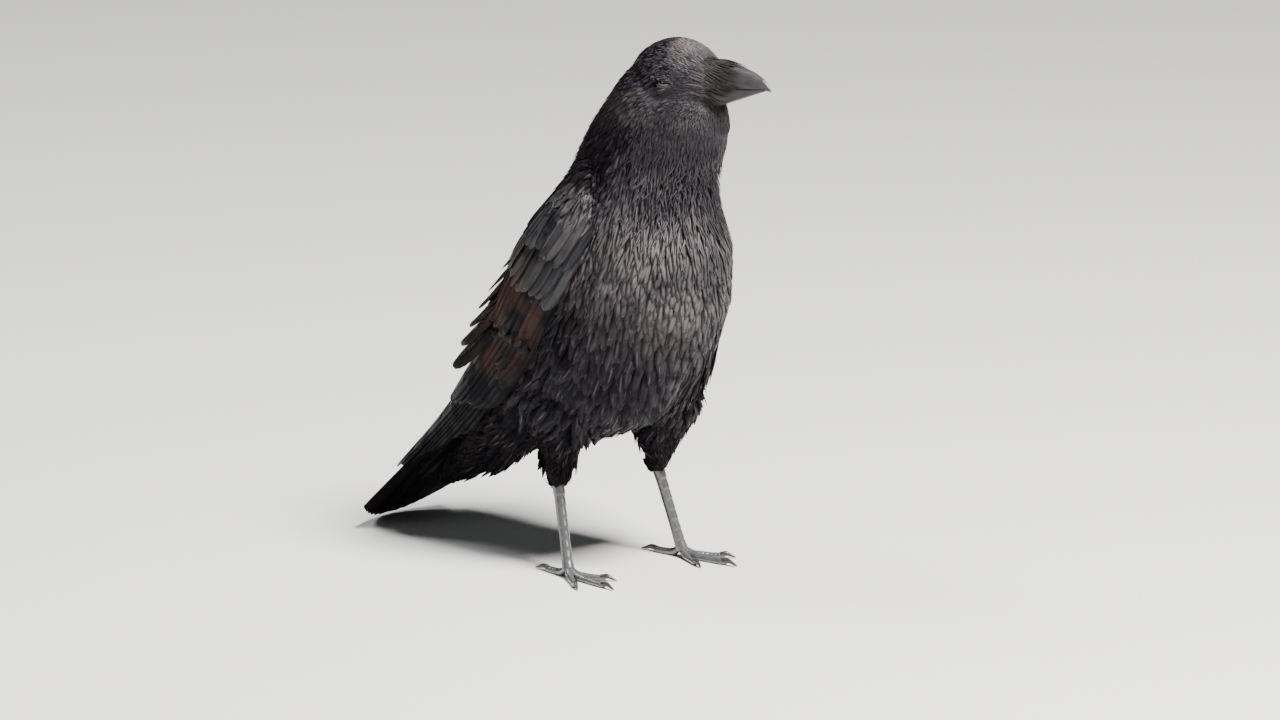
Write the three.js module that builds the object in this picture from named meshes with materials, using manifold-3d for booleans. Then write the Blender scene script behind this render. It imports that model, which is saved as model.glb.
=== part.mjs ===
// A carrion crow, life size, standing upright with its wings folded, as a museum model.
// Millimetres. +Z is up, the crow faces -Y and its left side is +X.
// The origin is on the floor, under the middle of the crow's outline in plan.
import * as THREE from "three";
import { mergeVertices } from "three/addons/utils/BufferGeometryUtils.js";
import Module from "manifold-3d";

const wasm = await Module();
wasm.setup();

// ---------------------------------------------------------------- driving dimensions

const GAP = 0.35; // clearance between neighbouring pieces

// The body's line from under the tail up to the crown. Each station is how far forward and
// how high its centre lies, its half width, and its half depth towards the back and the breast.
const BODY = [
  { forward: -160, up: 35, half: 8, back: 4, breast: 8 }, // end of the undertail coverts
  { forward: -126, up: 60, half: 22, back: 8, breast: 22 }, // undertail
  { forward: -96, up: 86, half: 33, back: 17, breast: 23 }, // vent
  { forward: -64, up: 111, half: 46, back: 32, breast: 42 }, // rump
  { forward: -34, up: 137, half: 56.5, back: 47, breast: 64.5 }, // belly
  { forward: -12, up: 166, half: 57, back: 54, breast: 71 }, // back and lower breast
  { forward: 2, up: 196, half: 57, back: 60, breast: 71 }, // breast
  { forward: 11, up: 226, half: 51, back: 60, breast: 62 }, // shoulders
  { forward: 16, up: 253, half: 41, back: 50, breast: 46 }, // foot of the neck
  { forward: 23, up: 277, half: 34, back: 41, breast: 41 }, // neck
  { forward: 30, up: 299, half: 30, back: 35.5, breast: 48.5 }, // throat
  { forward: 35, up: 318, half: 22, back: 28, breast: 42 }, // head
  { forward: 38, up: 333, half: 5, back: 8, breast: 8 }, // crown
];
const SKULL = { forward: 44.5, up: 322, length: 71, width: 45, height: 49, pitch: -2.5 };
// The planes that part the pieces: a point on each, and how far its upward normal leans forward.
const NECK_CUT = { forward: 22, up: 296, lean: 38 }; // between head and neck
const TRUNK_CUT = { forward: 14, up: 257, lean: 28 }; // between neck and trunk
const BILL_CUT = { forward: 66, up: 320.5, lean: -4.5 }; // between the halves of the bill

const EYE = { forward: 46.5, up: 321.5, out: 18.4, radius: 5.4 };
const BILL = {
  base: 66, // how far forward the bill leaves the face
  tip: 117,
  culmen: [340.5, 340, 337.5, 334, 325.5], // height of the ridge from base to tip
  gonys: [306, 309.5, 314.5, 320.5, 324], // height of the lower edge
  half: [10.5, 9, 6.8, 4.2, 1], // half width
  overhang: 2.4, // of the upper half's tip
};

const LEGS = {
  right: {
    side: -1,
    foot: [-43.3, -13.2, 6], // the joint where the toes meet
    ankle: [-32.9, -31.4, 58],
    knee: [-30, -31, 106],
    hip: [-22, -18, 158],
    turn: 8, // of the toes, outwards
  },
  left: {
    side: 1,
    foot: [43.4, 4.2, 6],
    ankle: [40.2, -13.6, 58],
    knee: [30.5, 1.5, 102],
    hip: [24, 6, 162],
    turn: 4,
  },
};
const SHANK = { wide: 3.0, deep: 3.6, hock: 4.6 };
const THIGH = [4.4, 5.6, 8.6, 16.5, 24, 17]; // half widths from the ankle to the hip
const TOES = [
  { name: "hind", bearing: 180, length: 21, radius: 2.9, claw: 13 },
  { name: "inner", bearing: -30, length: 25, radius: 2.5, claw: 10 },
  { name: "middle", bearing: 0, length: 36, radius: 2.7, claw: 11 },
  { name: "outer", bearing: 30, length: 28, radius: 2.5, claw: 9 },
];
const TOE_LIFT = 1.6; // height of a toe's centre line where it rests

// The folded wing is a sheet that lies along the flank: its middle line from the shoulder to
// the tip (out from the middle, forward, up), and how far the sheet is rolled on to the back.
const WING_LINE = [
  [45, -2, 247],
  [56, -24, 198],
  [55, -54, 150],
  [45, -92, 108],
  [31, -140, 66],
  [20, -185, 29],
];
const WING_ROLL = [22, 12, 14, 24, 38, 48]; // degrees, at the points of the middle line
const WING_BOW = { back: 0.0105, belly: 0.007 }; // how much the sheet curves round the body
// Rows of wing feathers on that sheet. Each place is the distance from the shoulder as a share
// of the line, the distance from the middle line towards the back, and the height off the
// sheet. Each row runs from its lowest feather to its highest one.
const WING_ROWS = {
  primaries: {
    count: 6,
    root: [[0.4, -4, -1.5], [0.4, 8, 1]],
    tip: [[0.78, -11, -1], [0.985, 3, 1.5]],
    width: 17,
    thick: 2.6,
  },
  secondaries: {
    count: 5,
    root: [[0.2, -15, 1], [0.22, 10, 3]],
    tip: [[0.58, -17, 1.5], [0.65, 6, 4]],
    width: 21,
    thick: 3,
  },
  tertials: {
    count: 4,
    root: [[0.18, 12, -1], [0.15, 38, -1]],
    tip: [[0.64, 18, 10.5], [0.56, 44, 10]],
    width: 22,
    thick: 3.4,
  },
};
const SHINGLE = 6; // degrees each feather is turned, to lie over the next one down
const COVERTS = { from: -0.06, to: 0.42, half: 32, thick: 10, across: 8, rim: 0.45 };

const TAIL = {
  count: 10,
  root: { forward: -78, up: 134 },
  length: 186,
  slope: 45.5, // below the horizontal
  fan: 6.5, // degrees to each side
  width: 23,
  thick: 2.6,
  stagger: 16, // how much shorter the outermost feathers are
  spread: 12, // half width of the row of roots
  crown: 1.1, // how far each feather lies under its inner neighbour
};

// ---------------------------------------------------------------- materials

const material = (color, roughness) =>
  new THREE.MeshStandardMaterial({ color, roughness, metalness: 0 });
const PLUMAGE = material(0x14131a, 0.55);
const FLIGHT = material(0x0f0e12, 0.45);
const HORN = material(0x17161a, 0.4);
const SCUTE = material(0x1d1c1f, 0.45);
const EYEBALL = material(0x0c0807, 0.08);

// ---------------------------------------------------------------- solids

const { lerp, smoothstep, degToRad } = THREE.MathUtils;
const mirrored = (side) => (v) => v.set(side * v.x, v.y, v.z);
// A point of the crow: out to its left, forward and up.
const at = (left, forward, up) => new THREE.Vector3(left, -forward, up);

// A closed solid from a three.js geometry.
function solid(geometry) {
  const bare = new THREE.BufferGeometry();
  bare.setAttribute("position", geometry.getAttribute("position"));
  bare.setIndex(geometry.getIndex());
  const merged = mergeVertices(bare, 1e-4);
  const triVerts = new Uint32Array(merged.index.array);
  const vertProperties = new Float32Array(merged.attributes.position.array);
  const made = new wasm.Manifold(new wasm.Mesh({ numProp: 3, vertProperties, triVerts }));
  if (made.volume() >= 0) return made;
  for (let i = 0; i < triVerts.length; i += 3)
    [triVerts[i + 1], triVerts[i + 2]] = [triVerts[i + 2], triVerts[i + 1]];
  return new wasm.Manifold(new wasm.Mesh({ numProp: 3, vertProperties, triVerts }));
}

// A sphere drawn out into a closed skin: place(share, angle, end) says where each point goes,
// with share 0 at one end and 1 at the other. end is -1 at the first point, 1 at the last and
// 0 between them. Rings crowd towards the ends, which keeps them round.
function drawn(sides, rings, place) {
  const g = new THREE.SphereGeometry(1, sides, rings);
  const position = g.getAttribute("position");
  const uv = g.getAttribute("uv");
  for (let i = 0; i < position.count; i++) {
    const ring = Math.round((1 - uv.getY(i)) * rings);
    const share = (1 - Math.cos((Math.PI * ring) / rings)) / 2;
    const end = ring === 0 ? -1 : ring === rings ? 1 : 0;
    const side = (i % (sides + 1)) % sides;
    const p = place(share, end ? 0 : (2 * Math.PI * side) / sides, end);
    position.setXYZ(i, p.x, p.y, p.z);
  }
  return solid(g);
}

// Where the values of a list of stations lie at a share of its length.
function along(values, share) {
  const x = THREE.MathUtils.clamp(share, 0, 1) * (values.length - 1);
  const i = Math.min(Math.floor(x), values.length - 2);
  return lerp(values[i], values[i + 1], x - i);
}

// A large block whose face lies through a point, filling the side that the normal points to.
function half(point, normal) {
  const size = 1000;
  const g = new THREE.BoxGeometry(size, size, size);
  g.translate(0, 0, size / 2);
  g.applyQuaternion(
    new THREE.Quaternion().setFromUnitVectors(new THREE.Vector3(0, 0, 1), normal.clone().normalize()),
  );
  g.translate(point.x, point.y, point.z);
  return solid(g);
}

// The largest piece of a solid, without the scraps that a cut leaves.
const largest = (s) => s.decompose().reduce((a, b) => (b.volume() > a.volume() ? b : a));
const union = (list) => list.reduce((a, b) => a.add(b));

// ---------------------------------------------------------------- body

const bodyLine = new THREE.CatmullRomCurve3(BODY.map((s) => at(0, s.forward, s.up)));
const bodyGirth = new THREE.CatmullRomCurve3(
  BODY.map((s) => new THREE.Vector3(s.half, s.back, s.breast)),
);

// Trunk, neck and the back of the head, grown outwards by a margin.
function bodySkin(grow = 0) {
  return drawn(22, 20, (share, angle, end) => {
    const centre = bodyLine.getPoint(share);
    const ahead = bodyLine.getTangent(share);
    const girth = bodyGirth.getPoint(share);
    if (end) return centre.addScaledVector(ahead, end * (3 + grow));
    const back = new THREE.Vector3(0, ahead.z, -ahead.y);
    const depth = (Math.sin(angle) > 0 ? girth.y : girth.z) + grow;
    return centre
      .addScaledVector(new THREE.Vector3(1, 0, 0), Math.cos(angle) * (girth.x + grow))
      .addScaledVector(back, Math.sin(angle) * depth);
  });
}

// The face: an egg that narrows towards the bill.
function skull(grow = 0) {
  const pitch = degToRad(SKULL.pitch);
  return drawn(18, 10, (share, angle) => {
    const x = 1 - 2 * share;
    const round = Math.sqrt(Math.max(0, 1 - x * x));
    const taper = 1 - 0.2 * smoothstep(x, 0, 1);
    const forward = (SKULL.length / 2 + grow) * x;
    const out = (SKULL.width / 2 + grow) * round * taper * Math.cos(angle);
    const up = (SKULL.height / 2 + grow) * round * taper * Math.sin(angle);
    return at(
      out,
      SKULL.forward + forward * Math.cos(pitch) - up * Math.sin(pitch),
      SKULL.up + forward * Math.sin(pitch) + up * Math.cos(pitch),
    );
  });
}

const cutNormal = (cut) => at(0, Math.sin(degToRad(cut.lean)), Math.cos(degToRad(cut.lean)));
function above(cut, margin) {
  const normal = cutNormal(cut);
  return half(at(0, cut.forward, cut.up).addScaledVector(normal, margin), normal);
}
function below(cut, margin) {
  const normal = cutNormal(cut);
  return half(at(0, cut.forward, cut.up).addScaledVector(normal, -margin), normal.negate());
}

// ---------------------------------------------------------------- bill and eyes

// The closed bill as one solid, out to a given reach.
function bill(reach, grow = 0) {
  const bow = 2.3; // how square the section is
  const power = (v) => Math.sign(v) * Math.abs(v) ** (2 / bow);
  return drawn(12, 8, (share, angle, end) => {
    const forward = lerp(BILL.base - 14, reach, share) + end * grow;
    const place = (forward - BILL.base) / (BILL.tip - BILL.base);
    const high = along(BILL.culmen, place);
    const low = along(BILL.gonys, place);
    const size = end ? 0 : 1;
    const out = (along(BILL.half, place) + grow) * power(Math.cos(angle)) * size;
    const up = ((high - low) / 2 + grow) * power(Math.sin(angle)) * size;
    return at(out, forward, (high + low) / 2 + up);
  });
}

function eyeball(side, grow = 0) {
  const g = new THREE.SphereGeometry(EYE.radius + grow, 12, 8);
  const centre = at(side * EYE.out, EYE.forward, EYE.up);
  g.translate(centre.x, centre.y, centre.z);
  return solid(g);
}

// ---------------------------------------------------------------- feathers

// A flight feather as a thin leaf that follows path(share) from root to tip. frame(share)
// gives the directions across the leaf and through it.
function feather(path, frame, width, thick, grow = 0) {
  return drawn(4, 6, (share, angle, end) => {
    const p = path(share);
    if (end) return p.add(path(share + end * 0.01).sub(p).setLength(grow));
    const { across, through } = frame(share);
    const outline = (1 - Math.abs(2 * share - 1) ** 6) ** 0.5 * lerp(0.55, 1, smoothstep(share, 0, 0.45));
    const w = (width / 2) * outline + grow;
    const h = (thick / 2) * Math.max(outline, 0.5) + grow;
    return p.addScaledVector(across, w * Math.cos(angle)).addScaledVector(through, h * Math.sin(angle));
  });
}

const wingLine = new THREE.CatmullRomCurve3(
  WING_LINE.map(([out, forward, up]) => at(out, forward, up)),
);

// A point of the left wing's sheet, with the directions across and out of it there.
function wingPoint(share, across, lift) {
  const s = THREE.MathUtils.clamp(share, 0, 1);
  const p = wingLine.getPoint(s);
  const ahead = wingLine.getTangent(s);
  p.addScaledVector(ahead, (share - s) * wingLine.getLength());
  const side = new THREE.Vector3(1, 0, 0).addScaledVector(ahead, -ahead.x).normalize();
  const back = new THREE.Vector3().crossVectors(side, ahead).normalize();
  const turned = (angle) => ({
    across: side.clone().multiplyScalar(-Math.sin(angle)).addScaledVector(back, Math.cos(angle)),
    out: side.clone().multiplyScalar(Math.cos(angle)).addScaledVector(back, Math.sin(angle)),
  });
  const roll = degToRad(along(WING_ROLL, s));
  const bow = across > 0 ? WING_BOW.back : WING_BOW.belly;
  const flat = turned(roll);
  p.addScaledVector(flat.across, across).addScaledVector(flat.out, lift - bow * across * across);
  return { point: p, ...turned(roll + Math.atan(2 * bow * across)) };
}

// One row of wing feathers, joined.
function wingRow(row, side, grow = 0) {
  const mirror = mirrored(side);
  const turn = degToRad(SHINGLE);
  const leaves = [];
  for (let i = 0; i < row.count; i++) {
    const k = i / (row.count - 1);
    const root = row.root[0].map((v, n) => lerp(v, row.root[1][n], k));
    const tip = row.tip[0].map((v, n) => lerp(v, row.tip[1][n], k));
    const spot = (share) => wingPoint(...root.map((v, n) => lerp(v, tip[n], share)));
    leaves.push(
      feather(
        (share) => mirror(spot(share).point),
        (share) => {
          const { across, out } = spot(share);
          const cos = Math.cos(turn);
          const sin = Math.sin(turn);
          return {
            across: mirror(across.clone().multiplyScalar(cos).addScaledVector(out, -sin)),
            through: mirror(out.clone().multiplyScalar(cos).addScaledVector(across, sin)),
          };
        },
        row.width,
        row.thick,
        grow,
      ),
    );
  }
  return union(leaves);
}

// The small feathers over the shoulder and forearm: one smooth shield.
function coverts(side, grow = 0) {
  const mirror = mirrored(side);
  return drawn(12, 9, (share, angle, end) => {
    const outline = (1 - Math.abs(2 * share - 1) ** 2.6) ** 0.5;
    const size = end ? 0 : 1;
    const across = COVERTS.across + (COVERTS.half * outline + grow) * Math.cos(angle) * size;
    const lift = (COVERTS.thick * Math.max(outline, COVERTS.rim) + grow) * Math.sin(angle) * size;
    const place = lerp(COVERTS.from, COVERTS.to, share) + (end * grow) / wingLine.getLength();
    return mirror(wingPoint(place, across, lift).point);
  });
}

// The tail, a fan of feathers whose inner ones lie on top.
function tailFan(grow = 0) {
  const slope = degToRad(TAIL.slope);
  const top = at(0, Math.sin(slope) * -1, Math.cos(slope)); // square to the fan, upwards
  const leaves = [];
  for (let i = 0; i < TAIL.count; i++) {
    const k = (2 * i) / (TAIL.count - 1) - 1;
    const turn = degToRad(TAIL.fan) * k;
    const length = TAIL.length - TAIL.stagger * Math.abs(k) ** 1.6;
    const ahead = at(
      Math.sin(turn),
      -Math.cos(turn) * Math.cos(slope),
      -Math.cos(turn) * Math.sin(slope),
    );
    const across = new THREE.Vector3().crossVectors(top, ahead).normalize();
    const lie = Math.abs(k) * (TAIL.count / 2) * TAIL.crown;
    const root = at(TAIL.spread * k, TAIL.root.forward, TAIL.root.up).addScaledVector(top, -lie);
    leaves.push(
      feather(
        (share) => root.clone().addScaledVector(ahead, length * share),
        () => ({ across, through: top }),
        TAIL.width,
        TAIL.thick,
        grow,
      ),
    );
  }
  return union(leaves);
}

// ---------------------------------------------------------------- legs

// A limb of round section along a curve, with the half width and half depth at each share.
function limb(points, wide, deep, sides, rings, grow = 0) {
  const line = new THREE.CatmullRomCurve3(points);
  return drawn(sides, rings, (share, angle, end) => {
    const p = line.getPoint(share);
    const ahead = line.getTangent(share);
    const out = new THREE.Vector3(1, 0, 0).addScaledVector(ahead, -ahead.x).normalize();
    const fore = new THREE.Vector3().crossVectors(ahead, out).normalize();
    if (end) return p.addScaledVector(ahead, end * grow);
    return p
      .addScaledVector(out, (along(wide, share) + grow) * Math.cos(angle))
      .addScaledVector(fore, (along(deep, share) + grow) * Math.sin(angle));
  });
}

function thigh(leg, grow = 0) {
  const [foot, ankle, knee, hip] = [at(...leg.foot), at(...leg.ankle), at(...leg.knee), at(...leg.hip)];
  const hem = ankle.clone().lerp(foot, 0.06);
  return limb([hem, ankle, ankle.clone().lerp(knee, 0.5), knee, hip], THIGH, THIGH, 12, 9, grow);
}

function shank(leg, grow = 0) {
  const [foot, ankle] = [at(...leg.foot), at(...leg.ankle)];
  const line = [-0.03, 0.5, 1.06].map((share) => foot.clone().lerp(ankle, share));
  const wide = [SHANK.wide * 1.25, SHANK.wide, SHANK.wide, SHANK.wide, SHANK.hock];
  const deep = [SHANK.deep * 1.1, SHANK.deep * 0.9, SHANK.deep, SHANK.deep, SHANK.hock];
  return limb(line, wide, deep, 8, 7, grow);
}

// The direction a toe points in, on the floor.
function bearing(leg, toe) {
  const angle = degToRad(leg.side * (leg.turn + toe.bearing));
  return at(Math.sin(angle), Math.cos(angle), 0);
}

// A toe: a knuckled rod that comes down from the foot joint, flattened where it rests.
function toeRod(leg, toe, grow = 0) {
  const start = at(...leg.foot);
  const ahead = bearing(leg, toe);
  const end = start.clone().addScaledVector(ahead, toe.length).setZ(TOE_LIFT);
  const line = new THREE.CatmullRomCurve3([
    start,
    start.clone().lerp(end, 0.3).setZ(TOE_LIFT + 0.8),
    start.clone().lerp(end, 0.65).setZ(TOE_LIFT),
    end,
  ]);
  const out = new THREE.Vector3(-ahead.y, ahead.x, 0);
  return drawn(6, 8, (share, angle, tip) => {
    const p = line.getPoint(share).addScaledVector(ahead, tip * grow);
    const size = tip ? 0 : toe.radius * (1 - 0.28 * share) + grow;
    p.addScaledVector(out, size * Math.cos(angle));
    p.z = Math.max(p.z + size * Math.sin(angle), -grow);
    return p;
  });
}

// A claw: a horn that arches over and comes down to a point just above the floor.
function clawHorn(leg, toe) {
  const ahead = bearing(leg, toe);
  const start = at(...leg.foot).addScaledVector(ahead, toe.length - 3.2).setZ(TOE_LIFT + 0.4);
  const out = new THREE.Vector3(-ahead.y, ahead.x, 0);
  const line = new THREE.CatmullRomCurve3([
    start,
    start.clone().addScaledVector(ahead, toe.claw * 0.45).setZ(TOE_LIFT + 1.5),
    start.clone().addScaledVector(ahead, toe.claw * 0.85).setZ(TOE_LIFT),
    start.clone().addScaledVector(ahead, toe.claw + 1).setZ(0.8),
  ]);
  return drawn(5, 6, (share, angle, tip) => {
    const p = line.getPoint(share);
    const size = tip ? 0 : lerp(1.7, 0.55, share);
    return p
      .addScaledVector(out, size * Math.cos(angle))
      .add(new THREE.Vector3(0, 0, size * 1.15 * Math.sin(angle)));
  });
}

// ---------------------------------------------------------------- assembly

const crow = new THREE.Group();

function add(name, made, finish) {
  const mesh = largest(made).getMesh();
  const g = new THREE.BufferGeometry();
  g.setAttribute("position", new THREE.BufferAttribute(new Float32Array(mesh.vertProperties), 3));
  g.setIndex(new THREE.BufferAttribute(new Uint32Array(mesh.triVerts), 1));
  g.computeVertexNormals();
  const piece = new THREE.Mesh(g, finish);
  piece.name = name;
  crow.add(piece);
}

const SIDES = [
  ["right", -1],
  ["left", 1],
];
const flesh = bodySkin().add(skull());
const fleshGrown = bodySkin(GAP).add(skull(GAP));
const sockets = SIDES.map(([, side]) => eyeball(side, GAP));

add("head", flesh.intersect(above(NECK_CUT, GAP / 2)).subtract(union(sockets)), PLUMAGE);
add("neck", flesh.intersect(below(NECK_CUT, GAP / 2)).intersect(above(TRUNK_CUT, GAP / 2)), PLUMAGE);
add("trunk", flesh.intersect(below(TRUNK_CUT, GAP / 2)), PLUMAGE);
for (const [name, side] of SIDES) add(`eye_${name}`, eyeball(side), EYEBALL);

const upperBill = bill(BILL.tip).subtract(fleshGrown);
const lowerBill = bill(BILL.tip - BILL.overhang).subtract(fleshGrown);
add("bill_upper", upperBill.intersect(above(BILL_CUT, GAP / 2)), HORN);
add("bill_lower", lowerBill.intersect(below(BILL_CUT, GAP / 2)), HORN);

let taken = fleshGrown; // the room of the pieces made so far, with the gap round them
for (const [name, side] of SIDES) {
  add(`wing_${name}_coverts`, coverts(side).subtract(taken), PLUMAGE);
  taken = taken.add(coverts(side, GAP));
  for (const row of ["tertials", "secondaries", "primaries"]) {
    add(`wing_${name}_${row}`, wingRow(WING_ROWS[row], side).subtract(taken), FLIGHT);
    taken = taken.add(wingRow(WING_ROWS[row], side, GAP));
  }
}
add("tail", tailFan().subtract(taken), FLIGHT);

for (const [name] of SIDES) {
  const leg = LEGS[name];
  add(`thigh_${name}`, thigh(leg).subtract(taken), PLUMAGE);
  add(`shank_${name}`, shank(leg).subtract(thigh(leg, GAP)), SCUTE);
  let foot = shank(leg, GAP); // the room of the foot so far
  for (const toe of TOES) {
    add(`toe_${name}_${toe.name}`, toeRod(leg, toe).subtract(foot), SCUTE);
    foot = foot.add(toeRod(leg, toe, GAP));
  }
  for (const toe of TOES) add(`claw_${name}_${toe.name}`, clawHorn(leg, toe).subtract(foot), HORN);
}

// The origin: on the floor, under the middle of the outline.
const outline = new THREE.Box3().setFromObject(crow);
const middle = outline.getCenter(new THREE.Vector3());
crow.position.set(-middle.x, -middle.y, -outline.min.z);

export default crow;
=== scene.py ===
"""A crow, life size, dressed over its frame: skin, feathers, bill, eyes, legs and a plain stage."""
import itertools
import math

import bpy
import numpy as np
from bpy.props import FloatProperty, FloatVectorProperty, IntProperty, PointerProperty
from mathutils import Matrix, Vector
from mathutils.bvhtree import BVHTree


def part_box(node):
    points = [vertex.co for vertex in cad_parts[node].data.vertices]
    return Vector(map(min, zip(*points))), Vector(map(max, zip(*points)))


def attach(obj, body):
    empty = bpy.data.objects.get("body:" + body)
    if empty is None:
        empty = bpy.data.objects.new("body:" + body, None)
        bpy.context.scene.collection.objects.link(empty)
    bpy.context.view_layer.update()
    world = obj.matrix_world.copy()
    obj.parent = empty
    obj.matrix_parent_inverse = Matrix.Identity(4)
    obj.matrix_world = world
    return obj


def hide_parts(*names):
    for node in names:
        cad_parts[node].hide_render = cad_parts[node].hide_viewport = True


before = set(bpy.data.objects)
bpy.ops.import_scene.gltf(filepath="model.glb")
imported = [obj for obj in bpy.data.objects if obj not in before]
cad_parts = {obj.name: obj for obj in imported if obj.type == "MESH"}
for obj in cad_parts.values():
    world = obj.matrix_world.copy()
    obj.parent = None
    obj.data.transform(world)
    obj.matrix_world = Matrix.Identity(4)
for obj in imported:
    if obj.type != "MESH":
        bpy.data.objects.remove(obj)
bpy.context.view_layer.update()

bl_info = {
    "name": "Crow",
    "version": (1, 0, 0),
    "blender": (4, 5, 0),
    "location": "3D View > Sidebar > Crow",
    "description": "Dresses the frame of a standing crow with skin, feathers, horn and scutes",
    "category": "Object",
}

MM = 0.001
SIDES = (("right", -1), ("left", 1))

# ------------------------------------------------------------------ the crow's own measures

# Places are given as out to the crow's left, forward and up from the floor between its feet.
EYE_FORWARD, EYE_UP, EYE_RADIUS = 46.5 * MM, 321.5 * MM, 5.4 * MM


def node_middle(node):
    low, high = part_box(node)
    return (low + high) / 2


EYES_MIDDLE = (node_middle("eye_left") + node_middle("eye_right")) / 2
FLOOR_MIDDLE = EYES_MIDDLE + Vector((0, EYE_FORWARD, -EYE_UP))


def at(left, forward, up):
    """The point of the frame that lies this far left, forward and up, in metres."""
    return FLOOR_MIDDLE + Vector((left, -forward, up))


# The line through the crow's middle from the foot of the bill to under the tail: forward, up.
BODY_LINE = [
    (64, 320), (42, 322), (31, 300), (23, 277), (16, 253), (11, 226), (2, 196),
    (-12, 166), (-34, 137), (-64, 111), (-96, 86), (-126, 60), (-160, 35),
]
# The small feathers by their distance from the bill along that line, in millimetres.
COAT_AT = (0, 26, 50, 80, 125, 190, 240, 320, 386)
COAT_LENGTH = (6.0, 7.6, 10.5, 15, 20, 24, 26, 30, 38)
COAT_WIDTH = (1.25, 1.6, 2.5, 4.1, 5.6, 6.6, 6.8, 6.6, 6.8)
COAT_DEPTH = (0.6, 0.8, 1.2, 2.2, 3.2, 3.6, 3.8, 3.2, 2.4)

# The folded wing's middle line from the shoulder to the tip: out, forward, up. The wing's
# sheet is rolled on to the back by WING_ROLL degrees and bowed round the body.
WING_LINE = [(45, -2, 247), (56, -24, 198), (55, -54, 150), (45, -92, 108), (31, -140, 66), (20, -185, 29)]
WING_ROLL = (22, 12, 14, 24, 38, 48)
WING_BOW_BACK, WING_BOW_BELLY = 10.5, 7.0  # per metre
SHINGLE = math.radians(6)

# Rows of wing feathers: how many, where the lowest and the highest one root and end, as
# (share of the line, mm towards the back, mm off the sheet), width in mm, and how far the
# shaft lies off the middle, as a share of the half width.
WING_ROWS = {
    "primaries": dict(
        count=8, root=((0.4, -6, -1.8), (0.4, 9, 1.6)), tip=((0.70, -11, -1.6), (0.985, 8, 3)),
        width=17.5, shaft=-0.35, point=0.5,
    ),
    "secondaries": dict(
        count=8, root=((0.2, -15, 0.6), (0.22, 10, 3)), tip=((0.56, -17, 1.0), (0.67, 10, 5)),
        width=20, shaft=-0.25, point=0.22,
    ),
    "tertials": dict(
        count=6, root=((0.18, 12, -1.5), (0.12, 49, -7)), tip=((0.59, 19, 14.5), (0.46, 66, 17)),
        width=23, shaft=-0.1, point=0.3, rise=2.2,
    ),
}

TAIL = dict(
    count=12, root=(-78, 134), length=186, slope=45.5, fan=6.5, width=24, stagger=16, spread=12,
    crown=0.3,
)


# Spots of the coat, left, back and up in mm: brow with a painted highlight, flat hind crown, fold of belly
# and thigh.
BROW, HIND_CROWN, GROIN = (0, -60, 338), (0, -17, 338), (30, -37, 139)
SKIN_VOXEL = 0.0018  # metres
TUFT_PATCH = 0.003  # each small feather's width on the coat's map
WING_GLOSS, COVERT_GLOSS, BRISTLE_GLOSS = (0.84, 0.88, 1.0), (0.85, 0.9, 1.0), (0.95, 0.93, 0.88)


class Line:
    """A smooth line through points, as a centripetal Catmull-Rom curve."""

    def __init__(self, points):
        p = np.asarray(points, float)
        self.points = np.vstack([2 * p[0] - p[1], p, 2 * p[-1] - p[-2]])

    def point(self, share):
        share = np.atleast_1d(np.asarray(share, float))
        last = len(self.points) - 3
        x = last * np.clip(share, 0, 1)
        i = np.minimum(np.floor(x).astype(int), last - 1)
        w = (x - i)[:, None]
        p0, p1, p2, p3 = (self.points[i + k] for k in range(4))
        d0, d1, d2 = (((b - a) ** 2).sum(1)[:, None] ** 0.25 for a, b in ((p0, p1), (p1, p2), (p2, p3)))
        t1 = ((p1 - p0) / d0 - (p2 - p0) / (d0 + d1) + (p2 - p1) / d1) * d1
        t2 = ((p2 - p1) / d1 - (p3 - p1) / (d1 + d2) + (p3 - p2) / d2) * d1
        return p1 + t1 * w + (3 * (p2 - p1) - 2 * t1 - t2) * w**2 + (2 * (p1 - p2) + t1 + t2) * w**3

    def ahead(self, share):
        share = np.atleast_1d(np.asarray(share, float))
        step = self.point(np.clip(share + 1e-4, 0, 1)) - self.point(np.clip(share - 1e-4, 0, 1))
        return unit(step)


def smooth(x, low, high):
    t = np.clip((np.asarray(x, float) - low) / (high - low), 0, 1)
    return t * t * (3 - 2 * t)


def unit(v):
    return v / np.maximum(np.linalg.norm(v, axis=-1, keepdims=True), 1e-12)


def own_place(points):
    """Places in the frame as left, back and up from the floor between the feet, in millimetres."""
    return (points - np.array(FLOOR_MIDDLE)) / MM


# ------------------------------------------------------------------ settings

class CrowPlumage(bpy.types.PropertyGroup):
    black: FloatVectorProperty(
        name="Black", description="Colour of the fresh feathers", subtype="COLOR",
        size=3, min=0, max=1, default=(0.0044, 0.0039, 0.0051),
    )
    worn: FloatVectorProperty(
        name="Worn brown", description="Colour of the bleached wing feathers", subtype="COLOR",
        size=3, min=0, max=1, default=(0.036, 0.020, 0.016),
    )
    # Painted sheen: a pale grey mixed over the black where the sunlit gloss of the throat, breast, brow,
    # cheeks and shoulders is painted in
    painted_sheen: FloatVectorProperty(
        name="Painted sheen", description="Colour of the throat, breast and shoulders", subtype="COLOR",
        size=3, min=0, max=1, default=(0.082, 0.072, 0.070),
    )
    gloss: FloatVectorProperty(
        name="Gloss", description="Tint of the feathers' gloss", subtype="COLOR",
        size=3, min=0, max=1, default=(0.86, 0.82, 1.0),
    )
    spacing: FloatProperty(
        name="Spacing", description="Distance between the roots of small feathers, as a share of their width",
        subtype="FACTOR", min=0.2, max=1, default=0.46,
    )
    unrest: FloatProperty(
        name="Unrest", description="How far small feathers turn from the lie of the coat",
        subtype="ANGLE", min=0, max=1, default=math.radians(12),
    )
    seed: IntProperty(name="Seed", description="Start of the random draws", min=0, default=7)


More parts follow.
